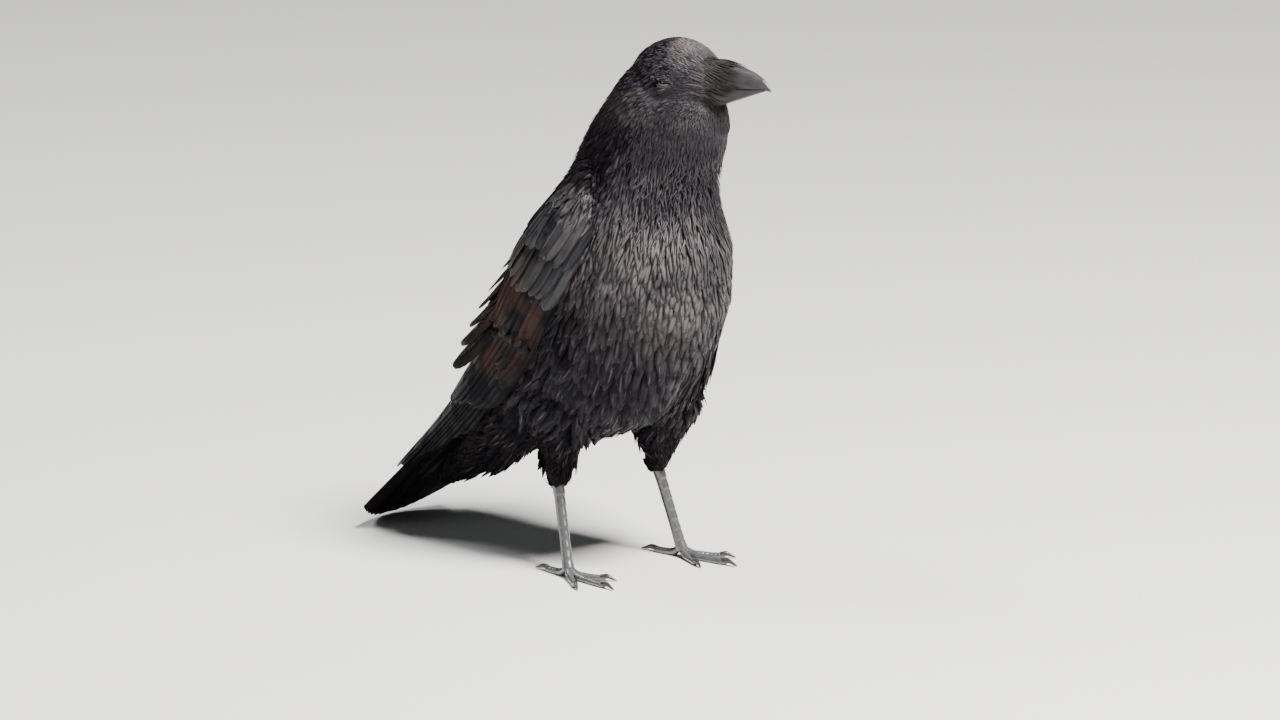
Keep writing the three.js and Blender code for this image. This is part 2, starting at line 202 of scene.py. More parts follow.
class CrowBareParts(bpy.types.PropertyGroup):
    horn: FloatVectorProperty(
        name="Horn", description="Colour of the bill and claws", subtype="COLOR",
        size=3, min=0, max=1, default=(0.019, 0.017, 0.0185),
    )
    scute: FloatVectorProperty(
        name="Scutes", description="Colour of the legs and toes", subtype="COLOR",
        size=3, min=0, max=1, default=(0.050, 0.050, 0.052),
    )
    iris: FloatVectorProperty(
        name="Iris", description="Colour of the iris", subtype="COLOR",
        size=3, min=0, max=1, default=(0.010, 0.0055, 0.0035),
    )
    lid: FloatVectorProperty(
        name="Lids", description="Colour of the bare lids", subtype="COLOR",
        size=3, min=0, max=1, default=(0.021, 0.020, 0.021),
    )


class CrowStage(bpy.types.PropertyGroup):
    floor: FloatVectorProperty(
        name="Floor", description="Colour of the floor", subtype="COLOR",
        size=3, min=0, max=1, default=(0.52, 0.52, 0.505),
    )
    azimuth: FloatProperty(
        name="Azimuth", description="Camera's turn round the crow from straight ahead of it",
        subtype="ANGLE", default=math.radians(-48),
    )
    elevation: FloatProperty(
        name="Elevation", description="Camera's height above the horizon",
        subtype="ANGLE", default=math.radians(13.5),
    )
    distance: FloatProperty(
        name="Distance", description="Camera's distance", subtype="DISTANCE", unit="LENGTH",
        min=0.5, default=9.0,
    )
    lens: FloatProperty(name="Lens", description="Focal length in millimetres", min=10, default=405.0)
    key: FloatProperty(name="Key light", description="Power of the main light in watts", min=0, default=410.0)


# ------------------------------------------------------------------ small helpers

def settle(piece, replaced, material):
    """Sets a finished piece on the frame's only body."""
    piece.data.materials.clear()
    piece.data.materials.append(material)
    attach(piece, "root")
    if replaced:
        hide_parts(*replaced)
    return piece


def select(*objects):
    bpy.ops.object.select_all(action="DESELECT")
    for o in objects:
        o.select_set(True)
    bpy.context.view_layer.objects.active = objects[0]


def apply_modifiers(o):
    select(o)
    for m in list(o.modifiers):
        bpy.ops.object.modifier_apply(modifier=m.name)


def calm(o, times):
    """Smooths an object's mesh, after whatever modifiers it already has."""
    smoothing = o.modifiers.new("calm", "SMOOTH")
    smoothing.factor = 0.5
    smoothing.iterations = times
    apply_modifiers(o)


def coordinates(mesh):
    co = np.empty(len(mesh.vertices) * 3)
    mesh.vertices.foreach_get("co", co)
    return co.reshape(-1, 3)


def vertex_normals(mesh):
    normals = np.empty(len(mesh.vertices) * 3)
    mesh.vertices.foreach_get("normal", normals)
    return normals.reshape(-1, 3)


def set_coordinates(mesh, co):
    mesh.vertices.foreach_set("co", np.ascontiguousarray(co, np.float32).ravel())
    mesh.update()


def mesh_from_arrays(name, points, groups):
    """An object from an array of points and arrays of equal-sided faces."""
    mesh = bpy.data.meshes.new(name)
    sizes = np.concatenate([np.full(len(g), g.shape[1]) for g in groups])
    corners = np.concatenate([g.ravel() for g in groups])
    mesh.vertices.add(len(points))
    mesh.vertices.foreach_set("co", np.ascontiguousarray(points, np.float32).ravel())
    mesh.loops.add(len(corners))
    mesh.loops.foreach_set("vertex_index", corners.astype(np.int32))
    mesh.polygons.add(len(sizes))
    mesh.polygons.foreach_set("loop_start", np.concatenate([[0], np.cumsum(sizes)[:-1]]).astype(np.int32))
    mesh.update(calc_edges=True)
    mesh.validate()
    mesh.shade_smooth()
    o = bpy.data.objects.new(name, mesh)
    bpy.context.scene.collection.objects.link(o)
    return o


def corner_values(mesh, values):
    """Values of points, given to each face corner."""
    index = np.empty(len(mesh.loops), np.int32)
    mesh.loops.foreach_get("vertex_index", index)
    return values[index]


def add_uv(mesh, name, values):
    layer = mesh.uv_layers.new(name=name)
    layer.data.foreach_set("uv", np.ascontiguousarray(values, np.float32).ravel())


def add_number(mesh, name, values):
    layer = mesh.attributes.new(name, "FLOAT", "POINT")
    layer.data.foreach_set("value", np.ascontiguousarray(values, np.float32))


def outward(points, side=1):
    """Measures in millimetres given as left, back and up, on one side, as places in the frame."""
    p = np.array(points, float) * MM
    p[..., 0] *= side
    return p + np.array(FLOOR_MIDDLE)


def primitive_tube(name, sides, rings, place, closed=True):
    """A tube from a grid primitive: place(share, angle) gives its points, and its ends are filled."""
    bpy.ops.object.select_all(action="DESELECT")
    bpy.ops.mesh.primitive_grid_add(x_subdivisions=sides, y_subdivisions=rings - 1, size=2)
    o = bpy.context.object
    o.name = o.data.name = name
    co = coordinates(o.data)
    angle = (co[:, 0] + 1) * math.pi
    share = (co[:, 1] + 1) / 2
    set_coordinates(o.data, place(share, angle))
    bpy.ops.object.mode_set(mode="EDIT")
    bpy.ops.mesh.select_all(action="SELECT")
    bpy.ops.mesh.remove_doubles(threshold=2e-6)
    if closed:
        bpy.ops.mesh.fill_holes(sides=0)
    bpy.ops.mesh.normals_make_consistent(inside=False)
    bpy.ops.object.mode_set(mode="OBJECT")
    o.location = (0, 0, 0)
    o.data.shade_smooth()
    return o


def joined(name, parts):
    """One object out of several."""
    select(*parts)
    if len(parts) > 1:
        bpy.ops.object.join()
    o = bpy.context.object
    o.name = o.data.name = name
    return o


# ------------------------------------------------------------------ vanes

# A vane's section: share of the half width, and height as a share of its thickness.
SMALL_SECTION = np.array([(-1, 0), (0, 0.6), (1, 0), (0, -0.4)])


def broad_section(shaft):
    """A flight feather's section: a flat blade with a raised shaft off its middle."""
    return np.array([
        (-1, 0), ((shaft - 1) / 2, 0.42), (shaft - 0.06, 0.5), (shaft, 1.0),
        (shaft + 0.06, 0.5), ((shaft + 1) / 2, 0.42), (1, 0), (shaft, -0.5),
    ])


def vanes(name, spine, up, half, section, thick, camber, patch, spread, tint, left=None, bloom=None):
    """Closed vanes as one mesh.

    spine and up are (feathers, rings, 3), half is (feathers, rings), thick and camber are
    heights in metres, patch is each feather's corner on the coat's map and spread its size there.
    left, if given, is the half width on the vane's left side, and the last argument how much painted sheen
    each one carries.
    """
    n, rings, _ = spine.shape
    sides = len(section)
    ahead = unit(np.gradient(spine, axis=1))
    across = unit(np.cross(ahead, up))
    lifted = unit(np.cross(across, ahead))
    a, z = section[:, 0], section[:, 1]
    on_left = half if left is None else left
    reach = np.where(a[None, None, :] < 0, on_left[..., None], half[..., None]) * a
    full = half / np.maximum(half.max(1, keepdims=True), 1e-9)
    height = thick[..., None] * z * np.maximum(full, 0.25)[..., None]
    height = height - camber[..., None] * (a**2) * full[..., None]
    points = spine[:, :, None] + across[:, :, None] * reach[..., None]
    points = points + lifted[:, :, None] * height[..., None]
    index = np.arange(n * rings * sides).reshape(n, rings, sides)
    turn = np.roll(index, -1, axis=2)
    walls = np.stack([index[:, :-1], turn[:, :-1], turn[:, 1:], index[:, 1:]], -1).reshape(-1, 4)
    caps = np.concatenate([index[:, 0, ::-1], index[:, -1]])
    o = mesh_from_arrays(name, points.reshape(-1, 3), [walls, caps])
    mesh = o.data
    steps = np.linalg.norm(np.diff(spine, axis=1), axis=2)
    along = np.concatenate([np.zeros((n, 1)), np.cumsum(steps, 1)], 1)
    share = along / np.maximum(along[:, -1:], 1e-9)
    flat = np.stack([reach * 100 + 0.5, np.broadcast_to(along[..., None] * 100, reach.shape)], -1)
    add_uv(mesh, "vane", corner_values(mesh, flat.reshape(-1, 2)))
    spot = np.stack([
        np.broadcast_to((a + 1) / 2, (n, rings, sides)),
        np.broadcast_to(share[..., None], (n, rings, sides)),
    ], -1)
    spot = patch[:, None, None] + (spot - 0.5) * spread
    add_uv(mesh, "OFBake", corner_values(mesh, spot.reshape(-1, 2)))
    add_number(mesh, "tint", np.repeat(tint, rings * sides))
    # each vane's share of painted sheen
    add_number(mesh, "bloom", np.repeat(np.zeros(n) if bloom is None else bloom, rings * sides))
    add_number(mesh, "share", np.broadcast_to(share[..., None], (n, rings, sides)).ravel())
    return o


# ------------------------------------------------------------------ the skin

FLESH = ["head", "neck", "trunk", "thigh_right", "thigh_left", "wing_right_coverts", "wing_left_coverts"]


def body_measure(points):
    """For places in the frame: distance from the bill along the body in mm, and the line's way there."""
    line = Line([(0, -f, u) for f, u in BODY_LINE])
    shares = np.linspace(0, 1, 240)
    p, ahead = line.point(shares), line.ahead(shares)
    length = np.concatenate([[0], np.cumsum(np.linalg.norm(np.diff(p, axis=0), axis=1))])
    q = own_place(points)
    measure, way, middle = np.empty(len(q)), np.empty((len(q), 3)), np.empty((len(q), 3))
    for start in range(0, len(q), 8000):
        part = slice(start, start + 8000)
        far = ((q[part, None, 1:] - p[None, :, 1:]) ** 2).sum(2)
        # nearby stretches of the line share a place, so that nothing jumps inside a bend
        weight = np.exp((far.min(1, keepdims=True) - far) / 420)
        weight /= weight.sum(1, keepdims=True)
        measure[part], way[part], middle[part] = weight @ length, weight @ ahead, weight @ p
    return measure, unit(way), middle


def coat(values, measure):
    return np.interp(measure, COAT_AT, values)


def node_tree(*names):
    """A search tree over some of the frame's solids."""
    points, faces, start = [], [], 0
    for name in names:
        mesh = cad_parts[name].data
        mesh.calc_loop_triangles()
        points.append(coordinates(mesh))
        faces += [tuple(start + v for v in t.vertices) for t in mesh.loop_triangles]
        start += len(mesh.vertices)
    return BVHTree.FromPolygons([tuple(v) for v in np.concatenate(points)], faces)


class Surface:
    """Meshes that roots and spines are laid on, with smooth normals and the first one's map."""

    def __init__(self, *objects):
        points, faces, normals, maps, areas, start = [], [], [], [], [], 0
        for o in objects:
            mesh = o.data
            points.append(coordinates(mesh))
            own = [tuple(p.vertices) for p in mesh.polygons]
            faces += [tuple(start + v for v in f) for f in own]
            start += len(mesh.vertices)
            n = vertex_normals(mesh)
            normals += [n[list(f)].mean(0) for f in own]
            uv = np.full(len(mesh.loops) * 2, 0.5)
            if mesh.uv_layers.get("OFBake"):
                mesh.uv_layers["OFBake"].data.foreach_get("uv", uv)
            uv = uv.reshape(-1, 2)
            maps += [uv[p.loop_start:p.loop_start + p.loop_total] for p in mesh.polygons]
            areas += [p.area for p in mesh.polygons]
        self.points, self.faces, self.uv = np.concatenate(points), faces, maps
        self.tree = BVHTree.FromPolygons([tuple(v) for v in self.points], faces)
        self.normals = unit(np.array(normals))
        self.area = np.array(areas)
        self.middles = np.array([self.points[list(f)].mean(0) for f in faces])

    def nearest(self, points):
        spots = np.empty((len(points), 3))
        faces = np.empty(len(points), int)
        for i, p in enumerate(points):
            spot, _, face, _ = self.tree.find_nearest(p)
            spots[i], faces[i] = spot, face
        return spots, self.normals[faces], faces

    def map_at(self, points, faces):
        """The map's place of points on faces, by inverse distance to the face's corners."""
        out = np.empty((len(points), 2))
        for i, (p, f) in enumerate(zip(points, faces)):
            corner = self.points[list(self.faces[f])]
            weight = 1 / (np.linalg.norm(corner - p, axis=1) + 1e-6) ** 2
            out[i] = (self.uv[f] * weight[:, None]).sum(0) / weight.sum()
        return out

    def march(self, roots, ahead, lengths, rings):
        """Lines of points that start at roots and keep to the surface."""
        spots, normals, faces = self.nearest(roots)
        line, ups = [spots], [normals]
        way = ahead.copy()
        for _ in range(rings - 1):
            way = way - normals * (way * normals).sum(1, keepdims=True)
            way = unit(way)
            spots, normals, _ = self.nearest(spots + way * (lengths / (rings - 1))[:, None])
            line.append(spots)
            ups.append(normals)
        return np.stack(line, 1), np.stack(ups, 1), faces


def painted_sheen_at(points, measure, facing):
    """Where sheen is painted on the coat: the front of the breast, less so the throat, a painted highlight on
    the forehead and a band on the cheek.
    """
    q = own_place(points)
    breast = smooth(measure, 68, 118) * (1 - smooth(measure, 132, 180)) * smooth(facing, -0.25, 0.5)
    throat = smooth(measure, 40, 60) * (1 - smooth(measure, 66, 92)) * smooth(facing, 0.0, 0.7)
    brow = smooth(np.linalg.norm(q * [0.8, 1, 1] - BROW, axis=1), 17, 9)
    cheek = smooth(measure, 60, 30) * smooth(q[:, 2], 324, 314) * smooth(q[:, 2], 290, 306)
    return np.clip(breast + 0.4 * throat + 1.2 * brow + 0.35 * cheek, 0, 1)


def thigh_share(points):
    """How far down a thigh each place is, from 0 on the body to 1 at the hem."""
    thighs, rest = node_tree("thigh_right", "thigh_left"), node_tree("trunk")
    own = np.array([thighs.find_nearest(p)[3] for p in points])
    other = np.array([rest.find_nearest(p)[3] for p in points])
    up = (points[:, 2] - FLOOR_MIDDLE[2]) / MM
    return np.where(own < other, smooth(up, 105, 62), 0.0)


def make_skin():
    copies = []
    for name in FLESH:
        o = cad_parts[name].copy()
        o.data = o.data.copy()
        o.parent = None
        o.name = "flesh_" + name
        for key in list(o.keys()):
            del o[key]
        bpy.context.scene.collection.objects.link(o)
        copies.append(o)
    for _, side in SIDES:
        bpy.ops.object.select_all(action="DESELECT")
        middle = eye_frame(side)[0]
        bpy.ops.mesh.primitive_uv_sphere_add(
            segments=32, ring_count=20, radius=EYE_RADIUS + 1.2 * MM, location=middle
        )
        copies.append(bpy.context.object)
    skin = joined("skin", copies)
    skin.location = (0, 0, 0)
    bpy.ops.object.mode_set(mode="EDIT")
    bpy.ops.mesh.select_all(action="SELECT")
    bpy.ops.mesh.remove_doubles(threshold=1e-6)
    bpy.ops.object.mode_set(mode="OBJECT")
    cover = skin.modifiers.new("cover", "REMESH")
    cover.mode = "VOXEL"
    cover.voxel_size = SKIN_VOXEL
    calm(skin, 8)
    mesh = skin.data
    co = coordinates(mesh)
    normals = vertex_normals(mesh)
    measure, _, _ = body_measure(co)
    depth = coat(COAT_DEPTH, measure)
    on_thigh = thigh_share(co)
    depth = np.where(on_thigh > 0, np.minimum(depth, 2.4 - 1.4 * on_thigh), depth)
    # the skull is flattest behind the crown
    q = own_place(co)
    depth += 2.0 * np.exp(-((q - HIND_CROWN) ** 2).sum(1) / 15**2)
    set_coordinates(mesh, co - normals * depth[:, None] * MM)
    calm(skin, 4)
    for _, side in SIDES:
        open_eye(skin, side)
    co = coordinates(mesh)
    normals = vertex_normals(mesh)
    measure, way, _ = body_measure(co)
    front = unit(np.cross(way, np.array([[1.0, 0, 0]])))
    # the skin carries the painted sheen of the coat over it, as a share on each point
    add_number(mesh, "bloom", painted_sheen_at(co, measure, (normals * front).sum(1)))
    for layer in list(mesh.uv_layers):
        mesh.uv_layers.remove(layer)
    mesh.uv_layers.new(name="OFBake")
    select(skin)
    bpy.ops.object.mode_set(mode="EDIT")
    bpy.ops.mesh.select_all(action="SELECT")
    bpy.ops.uv.smart_project(angle_limit=math.radians(66), island_margin=0.004)
    bpy.ops.object.mode_set(mode="OBJECT")
    mesh.shade_smooth()
    return skin


def eye_frame(side):
    """An eye's middle and its own directions: out, ahead along the face, and up."""
    middle = np.array(node_middle("eye_left" if side > 0 else "eye_right"))
    out = unit(np.array([side * 1.0, -0.16, 0.03]))
    fore = np.array([0, -1.0, -0.10])
    fore = unit(fore - out * (fore * out).sum())
    up = np.cross(out, fore)
    return middle, out, fore, up if up[2] > 0 else -up


# The almond between the lids, ahead and behind the eye's middle and above and below it, in mm.
ALMOND_LONG, ALMOND_UP, ALMOND_DOWN, ALMOND_RAISED = 5.0, 1.9, 1.7, 0.5
# How far the bare skin of the lids reaches past the opening, above and below it, in mm.
LID_UP, LID_DOWN = 0.6, 1.4


def almond(u, v):
    """How far out of the opening between the lids a place is: 1 on its rim."""
    v = v - ALMOND_RAISED
    high = np.where(v > 0, ALMOND_UP, ALMOND_DOWN)
    return np.sqrt((u / ALMOND_LONG) ** 2 + (v / high) ** 2)


def lid_share(u, v):
    """The same for the bare skin of the lids round the opening."""
    v = v - ALMOND_RAISED
    high = np.where(v > 0, ALMOND_UP + LID_UP, ALMOND_DOWN + LID_DOWN)
    return np.sqrt((u / (ALMOND_LONG + 0.5)) ** 2 + (v / high) ** 2)


def open_eye(skin, side):
    """Raises the skin over the eyeball as lids and opens it between them."""
    middle, out, fore, up = eye_frame(side)
    select(skin)
    bpy.ops.object.mode_set(mode="EDIT")
    bpy.ops.mesh.select_all(action="DESELECT")
    bpy.ops.object.mode_set(mode="OBJECT")
    mesh = skin.data
    middles = np.array([p.center for p in mesh.polygons])
    near = (np.linalg.norm(middles - middle, axis=1) < 11 * MM) & (((middles - middle) * out).sum(1) > 0)
    mesh.polygons.foreach_set("select", near)
    bpy.ops.object.mode_set(mode="EDIT")
    bpy.ops.mesh.select_mode(type="FACE")
    bpy.ops.mesh.subdivide(number_cuts=3)
    bpy.ops.object.mode_set(mode="OBJECT")
    co = coordinates(mesh)
    rel = (co - middle) / MM
    u, v, w = (rel * fore).sum(1), (rel * up).sum(1), (rel * out).sum(1)
    rho = np.sqrt(u * u + v * v)
    ball = EYE_RADIUS / MM
    lid = np.sqrt(np.clip((ball + 0.45) ** 2 - rho**2, 0, None))
    deep = np.sqrt(np.clip((ball - 1.1) ** 2 - rho**2, 0, None))
    opened = smooth(almond(u, v), 1.12, 0.86)
    wanted = np.maximum(w, lid) * (1 - opened) + deep * opened
    here = (rho < ball + 0.4) & (w > 0)
    w = np.where(here, wanted, w)
    set_coordinates(mesh, middle + (u[:, None] * fore + v[:, None] * up + w[:, None] * out) * MM)


# Each leg's places, left, back and up in mm, and how far its foot turns out in degrees.
LEGS = {
    "right": dict(side=-1, foot=(-43.3, 13.2, 6), ankle=(-32.9, 31.4, 58), hip=(-22, 18, 158), turn=8),
    "left": dict(side=1, foot=(43.4, -4.2, 6), ankle=(40.2, 13.6, 58), hip=(24, -6, 162), turn=4),
}


class Coat:
    """Where the small feathers grow, how big they are there, and which way they lie."""

    def __init__(self, skin):
        self.surface = Surface(skin)
        self.trees = {name: node_tree(name) for name in FLESH}

    def near(self, points, *names):
        return np.array([min(self.trees[n].find_nearest(p)[3] for n in names) for p in points]) / MM

    def lie(self, points, normals):
        """The coat's direction, and the shares of thigh and of wing in it."""
        measure, way, axis = body_measure(points)
        q = own_place(points)
        flow = way + 0.3 * unit(q - axis)
        rest = self.near(points, "head", "neck", "trunk")
        side = np.sign(q[:, 0])
        thigh = np.minimum(self.near(points, "thigh_right"), self.near(points, "thigh_left"))
        thigh = smooth(rest - thigh, -4, 6)
        thigh = thigh * (q[:, 2] < 125)
        wing = np.minimum(self.near(points, "wing_right_coverts"), self.near(points, "wing_left_coverts"))
        wing = smooth(rest - wing, -1, 3)
        down = np.zeros_like(flow)
        for leg in LEGS.values():
            here = side == leg["side"]
            down[here] = unit(np.subtract(leg["ankle"], leg["hip"]).astype(float))
        folded = Line(WING_DESIGN)
        shares = np.linspace(0, 1, 100)
        line, ahead = folded.point(shares), folded.ahead(shares)
        mirror = np.stack([np.abs(q[:, 0]), q[:, 1], q[:, 2]], 1)
        best = np.argmin(((mirror[:, None] - line[None]) ** 2).sum(2), axis=1)
        along_wing = ahead[best] * np.stack([side, np.ones_like(side), np.ones_like(side)], 1)
        hang = (smooth(q[:, 2], 314, 300) * smooth(-q[:, 1], 18, 42))[:, None]
        flow = flow * (1 - hang) + np.array([[0, 0.25, -1.0]]) * hang
        flow = flow * (1 - thigh)[:, None] + down * thigh[:, None]
        flow = flow * (1 - wing)[:, None] + along_wing * wing[:, None]
        flow = flow - normals * (flow * normals).sum(1, keepdims=True)
        return unit(flow), measure, way, thigh, wing, shares[best]


CELLS_ROUND = tuple(itertools.product((-1, 0, 1), repeat=3))


def scatter(surface, spacing, rng):
    """Roots on a surface, no two nearer than the spacing there. spacing is one number a face."""
    chance = surface.area / spacing**2
    total = int(chance.sum() * 3.2)
    pick = rng.choice(len(chance), total, p=chance / chance.sum())
    corner = rng.random((total, 2))
    spots = np.empty((total, 3))
    for i, f in enumerate(pick):
        c = surface.points[list(surface.faces[f])]
        u, v = corner[i]
        if len(c) == 4:
            spots[i] = (c[0] * (1 - u) + c[1] * u) * (1 - v) + (c[3] * (1 - u) + c[2] * u) * v
        else:
            if u + v > 1:
                u, v = 1 - u, 1 - v
            spots[i] = c[0] + (c[1] - c[0]) * u + (c[2] - c[0]) * v
    room = spacing[pick]
    kept = []
    for band_low, band_high in ((0, 0.0016), (0.0016, 0.0032), (0.0032, 1)):
        band = np.nonzero((room >= band_low) & (room < band_high))[0]
        if not len(band):
            continue
        cell = room[band].max()
        grid = {}
        for i in band:
            p, r = spots[i], room[i]
            key = tuple((p // cell).astype(int))
            crowd = any(
                (p[0] - q[0]) ** 2 + (p[1] - q[1]) ** 2 + (p[2] - q[2]) ** 2 < r * r
                for dx, dy, dz in CELLS_ROUND
                for q in grid.get((key[0] + dx, key[1] + dy, key[2] + dz), ())
            )
            if not crowd:
                grid.setdefault(key, []).append(p)
                kept.append(i)
    return spots[kept], pick[kept]


def small_feathers(skin, plumage):
    """The contour feathers, by tract."""
    rng = np.random.default_rng(plumage.seed)
    body = Coat(skin)
    surface = body.surface
    _, measure_f, _, thigh_f, wing_f, _ = body.lie(surface.middles, surface.normals)
    width_f = coat(COAT_WIDTH, measure_f)
    width_f = width_f * (1 - 0.35 * thigh_f) * (1 + 0.3 * wing_f)
    middles = own_place(surface.middles)
    ahead = -middles[:, 1]
    low, high = np.interp(ahead, *GONYS), np.interp(ahead, *CULMEN)
    bare = (ahead > 66) & (middles[:, 2] > low + 1) & (middles[:, 2] < high - 1)
    bare &= np.abs(middles[:, 0]) < np.interp(ahead, *BILL_HALF) - 1
    bare |= middles[:, 2] < 58
    for eye_side in (-1, 1):
        middle, _, fore, above = eye_frame(eye_side)
        rel = (surface.middles - middle) / MM
        bare |= (lid_share((rel * fore).sum(1), (rel * above).sum(1)) < 1.0) & (rel[:, 0] * eye_side > -2)
    spacing = width_f * plumage.spacing * MM
    spacing[bare] = 1.0
    roots, faces = scatter(surface, spacing, rng)
    normals = surface.normals[faces]
    flow, measure, way, thigh, wing, share = body.lie(roots, normals)
    n = len(roots)
    width = coat(COAT_WIDTH, measure) * (1 - 0.28 * thigh) * (1 + 0.45 * wing)
    length = coat(COAT_LENGTH, measure) * (1 - 0.40 * thigh) * (1 - 0.25 * wing)
    depth = coat(COAT_DEPTH, measure) * (1 - 0.6 * thigh) + 0.5
    q = own_place(roots)
    front = unit(np.cross(way, np.array([[1.0, 0, 0]])))
    facing = (normals * front).sum(1)
    throat = smooth(measure, 34, 60) * (1 - smooth(measure, 100, 135)) * smooth(facing, -0.15, 0.35)
    nape = smooth(measure, 12, 34) * (1 - smooth(measure, 90, 130)) * smooth(facing, 0.1, -0.5)
    chin = smooth(measure, -4, 20) * (1 - smooth(measure, 56, 92)) * smooth(facing, 0.2, 0.8)
    under = smooth(measure, 140, 185) * (1 - smooth(measure, 290, 325)) * smooth(facing, 0.3, 0.9)
    flank = smooth(measure, 196, 232) * (1 - smooth(measure, 285, 320)) * smooth(np.abs(facing), 0.98, 0.7)
    vent = smooth(measure, 300, 345) * smooth(facing, 0.0, 0.6)
    hind = smooth(measure, 10, 30) * (1 - smooth(measure, 60, 95)) * smooth(facing, 0.15, -0.4)
    # the coat is deepest where the belly meets the thighs
    mirror = np.stack([np.abs(q[:, 0]), q[:, 1], q[:, 2]], 1)
    groin = np.exp(-(((mirror - GROIN) ** 2).sum(1)) / 21**2)
    groin = groin * (1 - 0.4 * thigh) * smooth(facing, -0.1, 0.4)
    depth += (
        1.7 * nape + 4.6 * chin + 2.4 * under + 2.4 * hind + 9.0 * groin + 1.6 * vent
        + 5.5 * flank * (1 - thigh) * (1 - wing)
    )
    back = smooth(measure, 100, 150) * smooth(facing, 0.1, -0.4) * (1 - wing)
    width *= (1 - 0.40 * throat) * (1 + 0.5 * back)
    length *= (1 + 0.30 * throat) * (1 + 0.15 * back)
    length *= rng.uniform(0.86, 1.14, n)
    width *= rng.uniform(0.88, 1.12, n)
    length *= 1 + 0.6 * hind
    width *= 1 + 0.25 * hind
    limit = 0.13 + 0.09 * smooth(measure, 30, 80) + 0.28 * chin + 0.14 * flank + 0.36 * groin + 0.14 * hind
    depth = np.minimum(depth, limit * length)
    turn = rng.normal(0, 1, n) * plumage.unrest * (0.45 + 0.75 * throat) * (1 - 0.4 * thigh)
    flow = flow * np.cos(turn)[:, None] + np.cross(normals, flow) * np.sin(turn)[:, None]

    clear = np.ones(n, bool)
    for eye_side in (-1, 1):
        middle, _, fore, above = eye_frame(eye_side)
        rel = (roots - middle) / MM
        near = (np.abs(rel).max(1) < 14) & (rel[:, 0] * eye_side > -2)
        u, v = (rel * fore).sum(1), (rel * above).sum(1)
        clear &= ~(near & (lid_share(u, v) < 1.02))
        du, dv = (flow * fore).sum(1), (flow * above).sum(1)
        for step in (0.25, 0.5, 0.75, 1.0):
            inside = lid_share(u + du * length * step, v + dv * length * step) < 0.86
            length = np.where(near & inside, np.minimum(length, length * (step - 0.12)), length)
    clear &= length > 1.1
    covered = (share > 0.22) & (wing > 0.6)
    clear &= ~covered

    rings = 6
    spine, ups, root_faces = surface.march(roots[clear], flow[clear], length[clear] * MM, rings)
    patch = surface.map_at(spine[:, 0], root_faces)
    s = np.linspace(0, 1, rings) ** 0.85
    s[0] = 0
    # rings nearer the tip stand closer
    spine = np.stack([
        np.stack([np.interp(s, np.linspace(0, 1, rings), spine[i, :, c]) for c in range(3)], -1)
        for i in range(len(spine))
    ])
    roll = rng.normal(0, 0.16, clear.sum()) * (0.3 + 0.7 * smooth(measure[clear], 30, 80))
    ahead_way = unit(np.gradient(spine, axis=1))
    ups = unit(ups + np.cross(ahead_way, ups) * np.tan(roll)[:, None, None])
    raised = depth[clear] * rng.uniform(0.86, 1.08, clear.sum())
    height = -0.25 + (raised[:, None] + 0.25) * s[None, :] ** 0.65
    spine = spine + ups * (height * MM)[..., None]
    point = np.maximum(throat, 0.18 * smooth(measure, 60, 130) * (1 - wing))[clear][:, None]
    rounded = np.sqrt(np.clip(1 - np.clip((s - 0.55) / 0.46, 0, 1) ** 2.4, 0.02, 1))
    pointed = np.clip(1 - s**2.2, 0.06, 1)
    outline = (rounded[None] * (1 - point) + pointed[None] * point) * (0.42 + 0.58 * smooth(s, 0, 0.45))[None]
    half = width[clear][:, None] / 2 * outline * MM
    ragged = half * rng.uniform(0.8, 1.1, half.shape)
    thick = np.clip(width[clear] * 0.032, 0.08, 0.26)[:, None] * np.ones((1, rings)) * MM
    camber = (width[clear] * 0.055)[:, None] * np.ones((1, rings)) * MM
    tint = rng.random(clear.sum())

    # painted sheen on the front of the breast, the throat, the brow and the cheeks, and painted glints on the
    # small feathers over the shoulder, with a random share per feather
    bloom = painted_sheen_at(roots, measure, facing) * (1 - thigh) * (1 - wing)
    bloom = np.clip(bloom + 0.5 * wing * smooth(share, 0.20, 0.08), 0, 1)[clear]
    bloom = bloom * rng.uniform(0.7, 1.0, clear.sum())

    left = q[clear][:, 0] > 0
    m = measure[clear] + rng.normal(0, 7, clear.sum())
    f = facing[clear] + rng.normal(0, 0.12, clear.sum())
    t, w = thigh[clear], wing[clear]
    blur = rng.normal(0, 12, clear.sum())
    names = ("thigh", "shoulder", "face", "throat", "nape", "back", "breast", "belly", "vent")
    # the first of these that holds for a feather gives its tract
    tracts = (
        (t > 0.5, "thigh"), (w > 0.5, "shoulder"),
        ((m + 0.6 * blur > 20) & (m < 42) & (f < -0.2), "nape"), (m < 42, "face"),
        ((m < 118) & (f > 0), "throat"), (m < 118, "nape"), (f <= 0.05, "back"),
        (m + blur < 152, "breast"), (m + blur < 232, "belly"),
    )
    tract = np.select(
        [test for test, _ in tracts], [names.index(name) for _, name in tracts],
        default=names.index("vent"),
    )
    made = []
    for number in range(2 * len(names)):
        name = f"feathers_{names[number // 2]}_{SIDES[number % 2][0]}"
        here = np.nonzero((tract == number // 2) & (left == (number % 2 == 1)))[0]
        if not len(here):
            continue
        made.append(vanes(
            name, spine[here], ups[here], half[here], SMALL_SECTION, thick[here], camber[here],
            patch[here], TUFT_PATCH, tint[here], ragged[here], bloom[here],
        ))
    return made


# ------------------------------------------------------------------ wings and tail

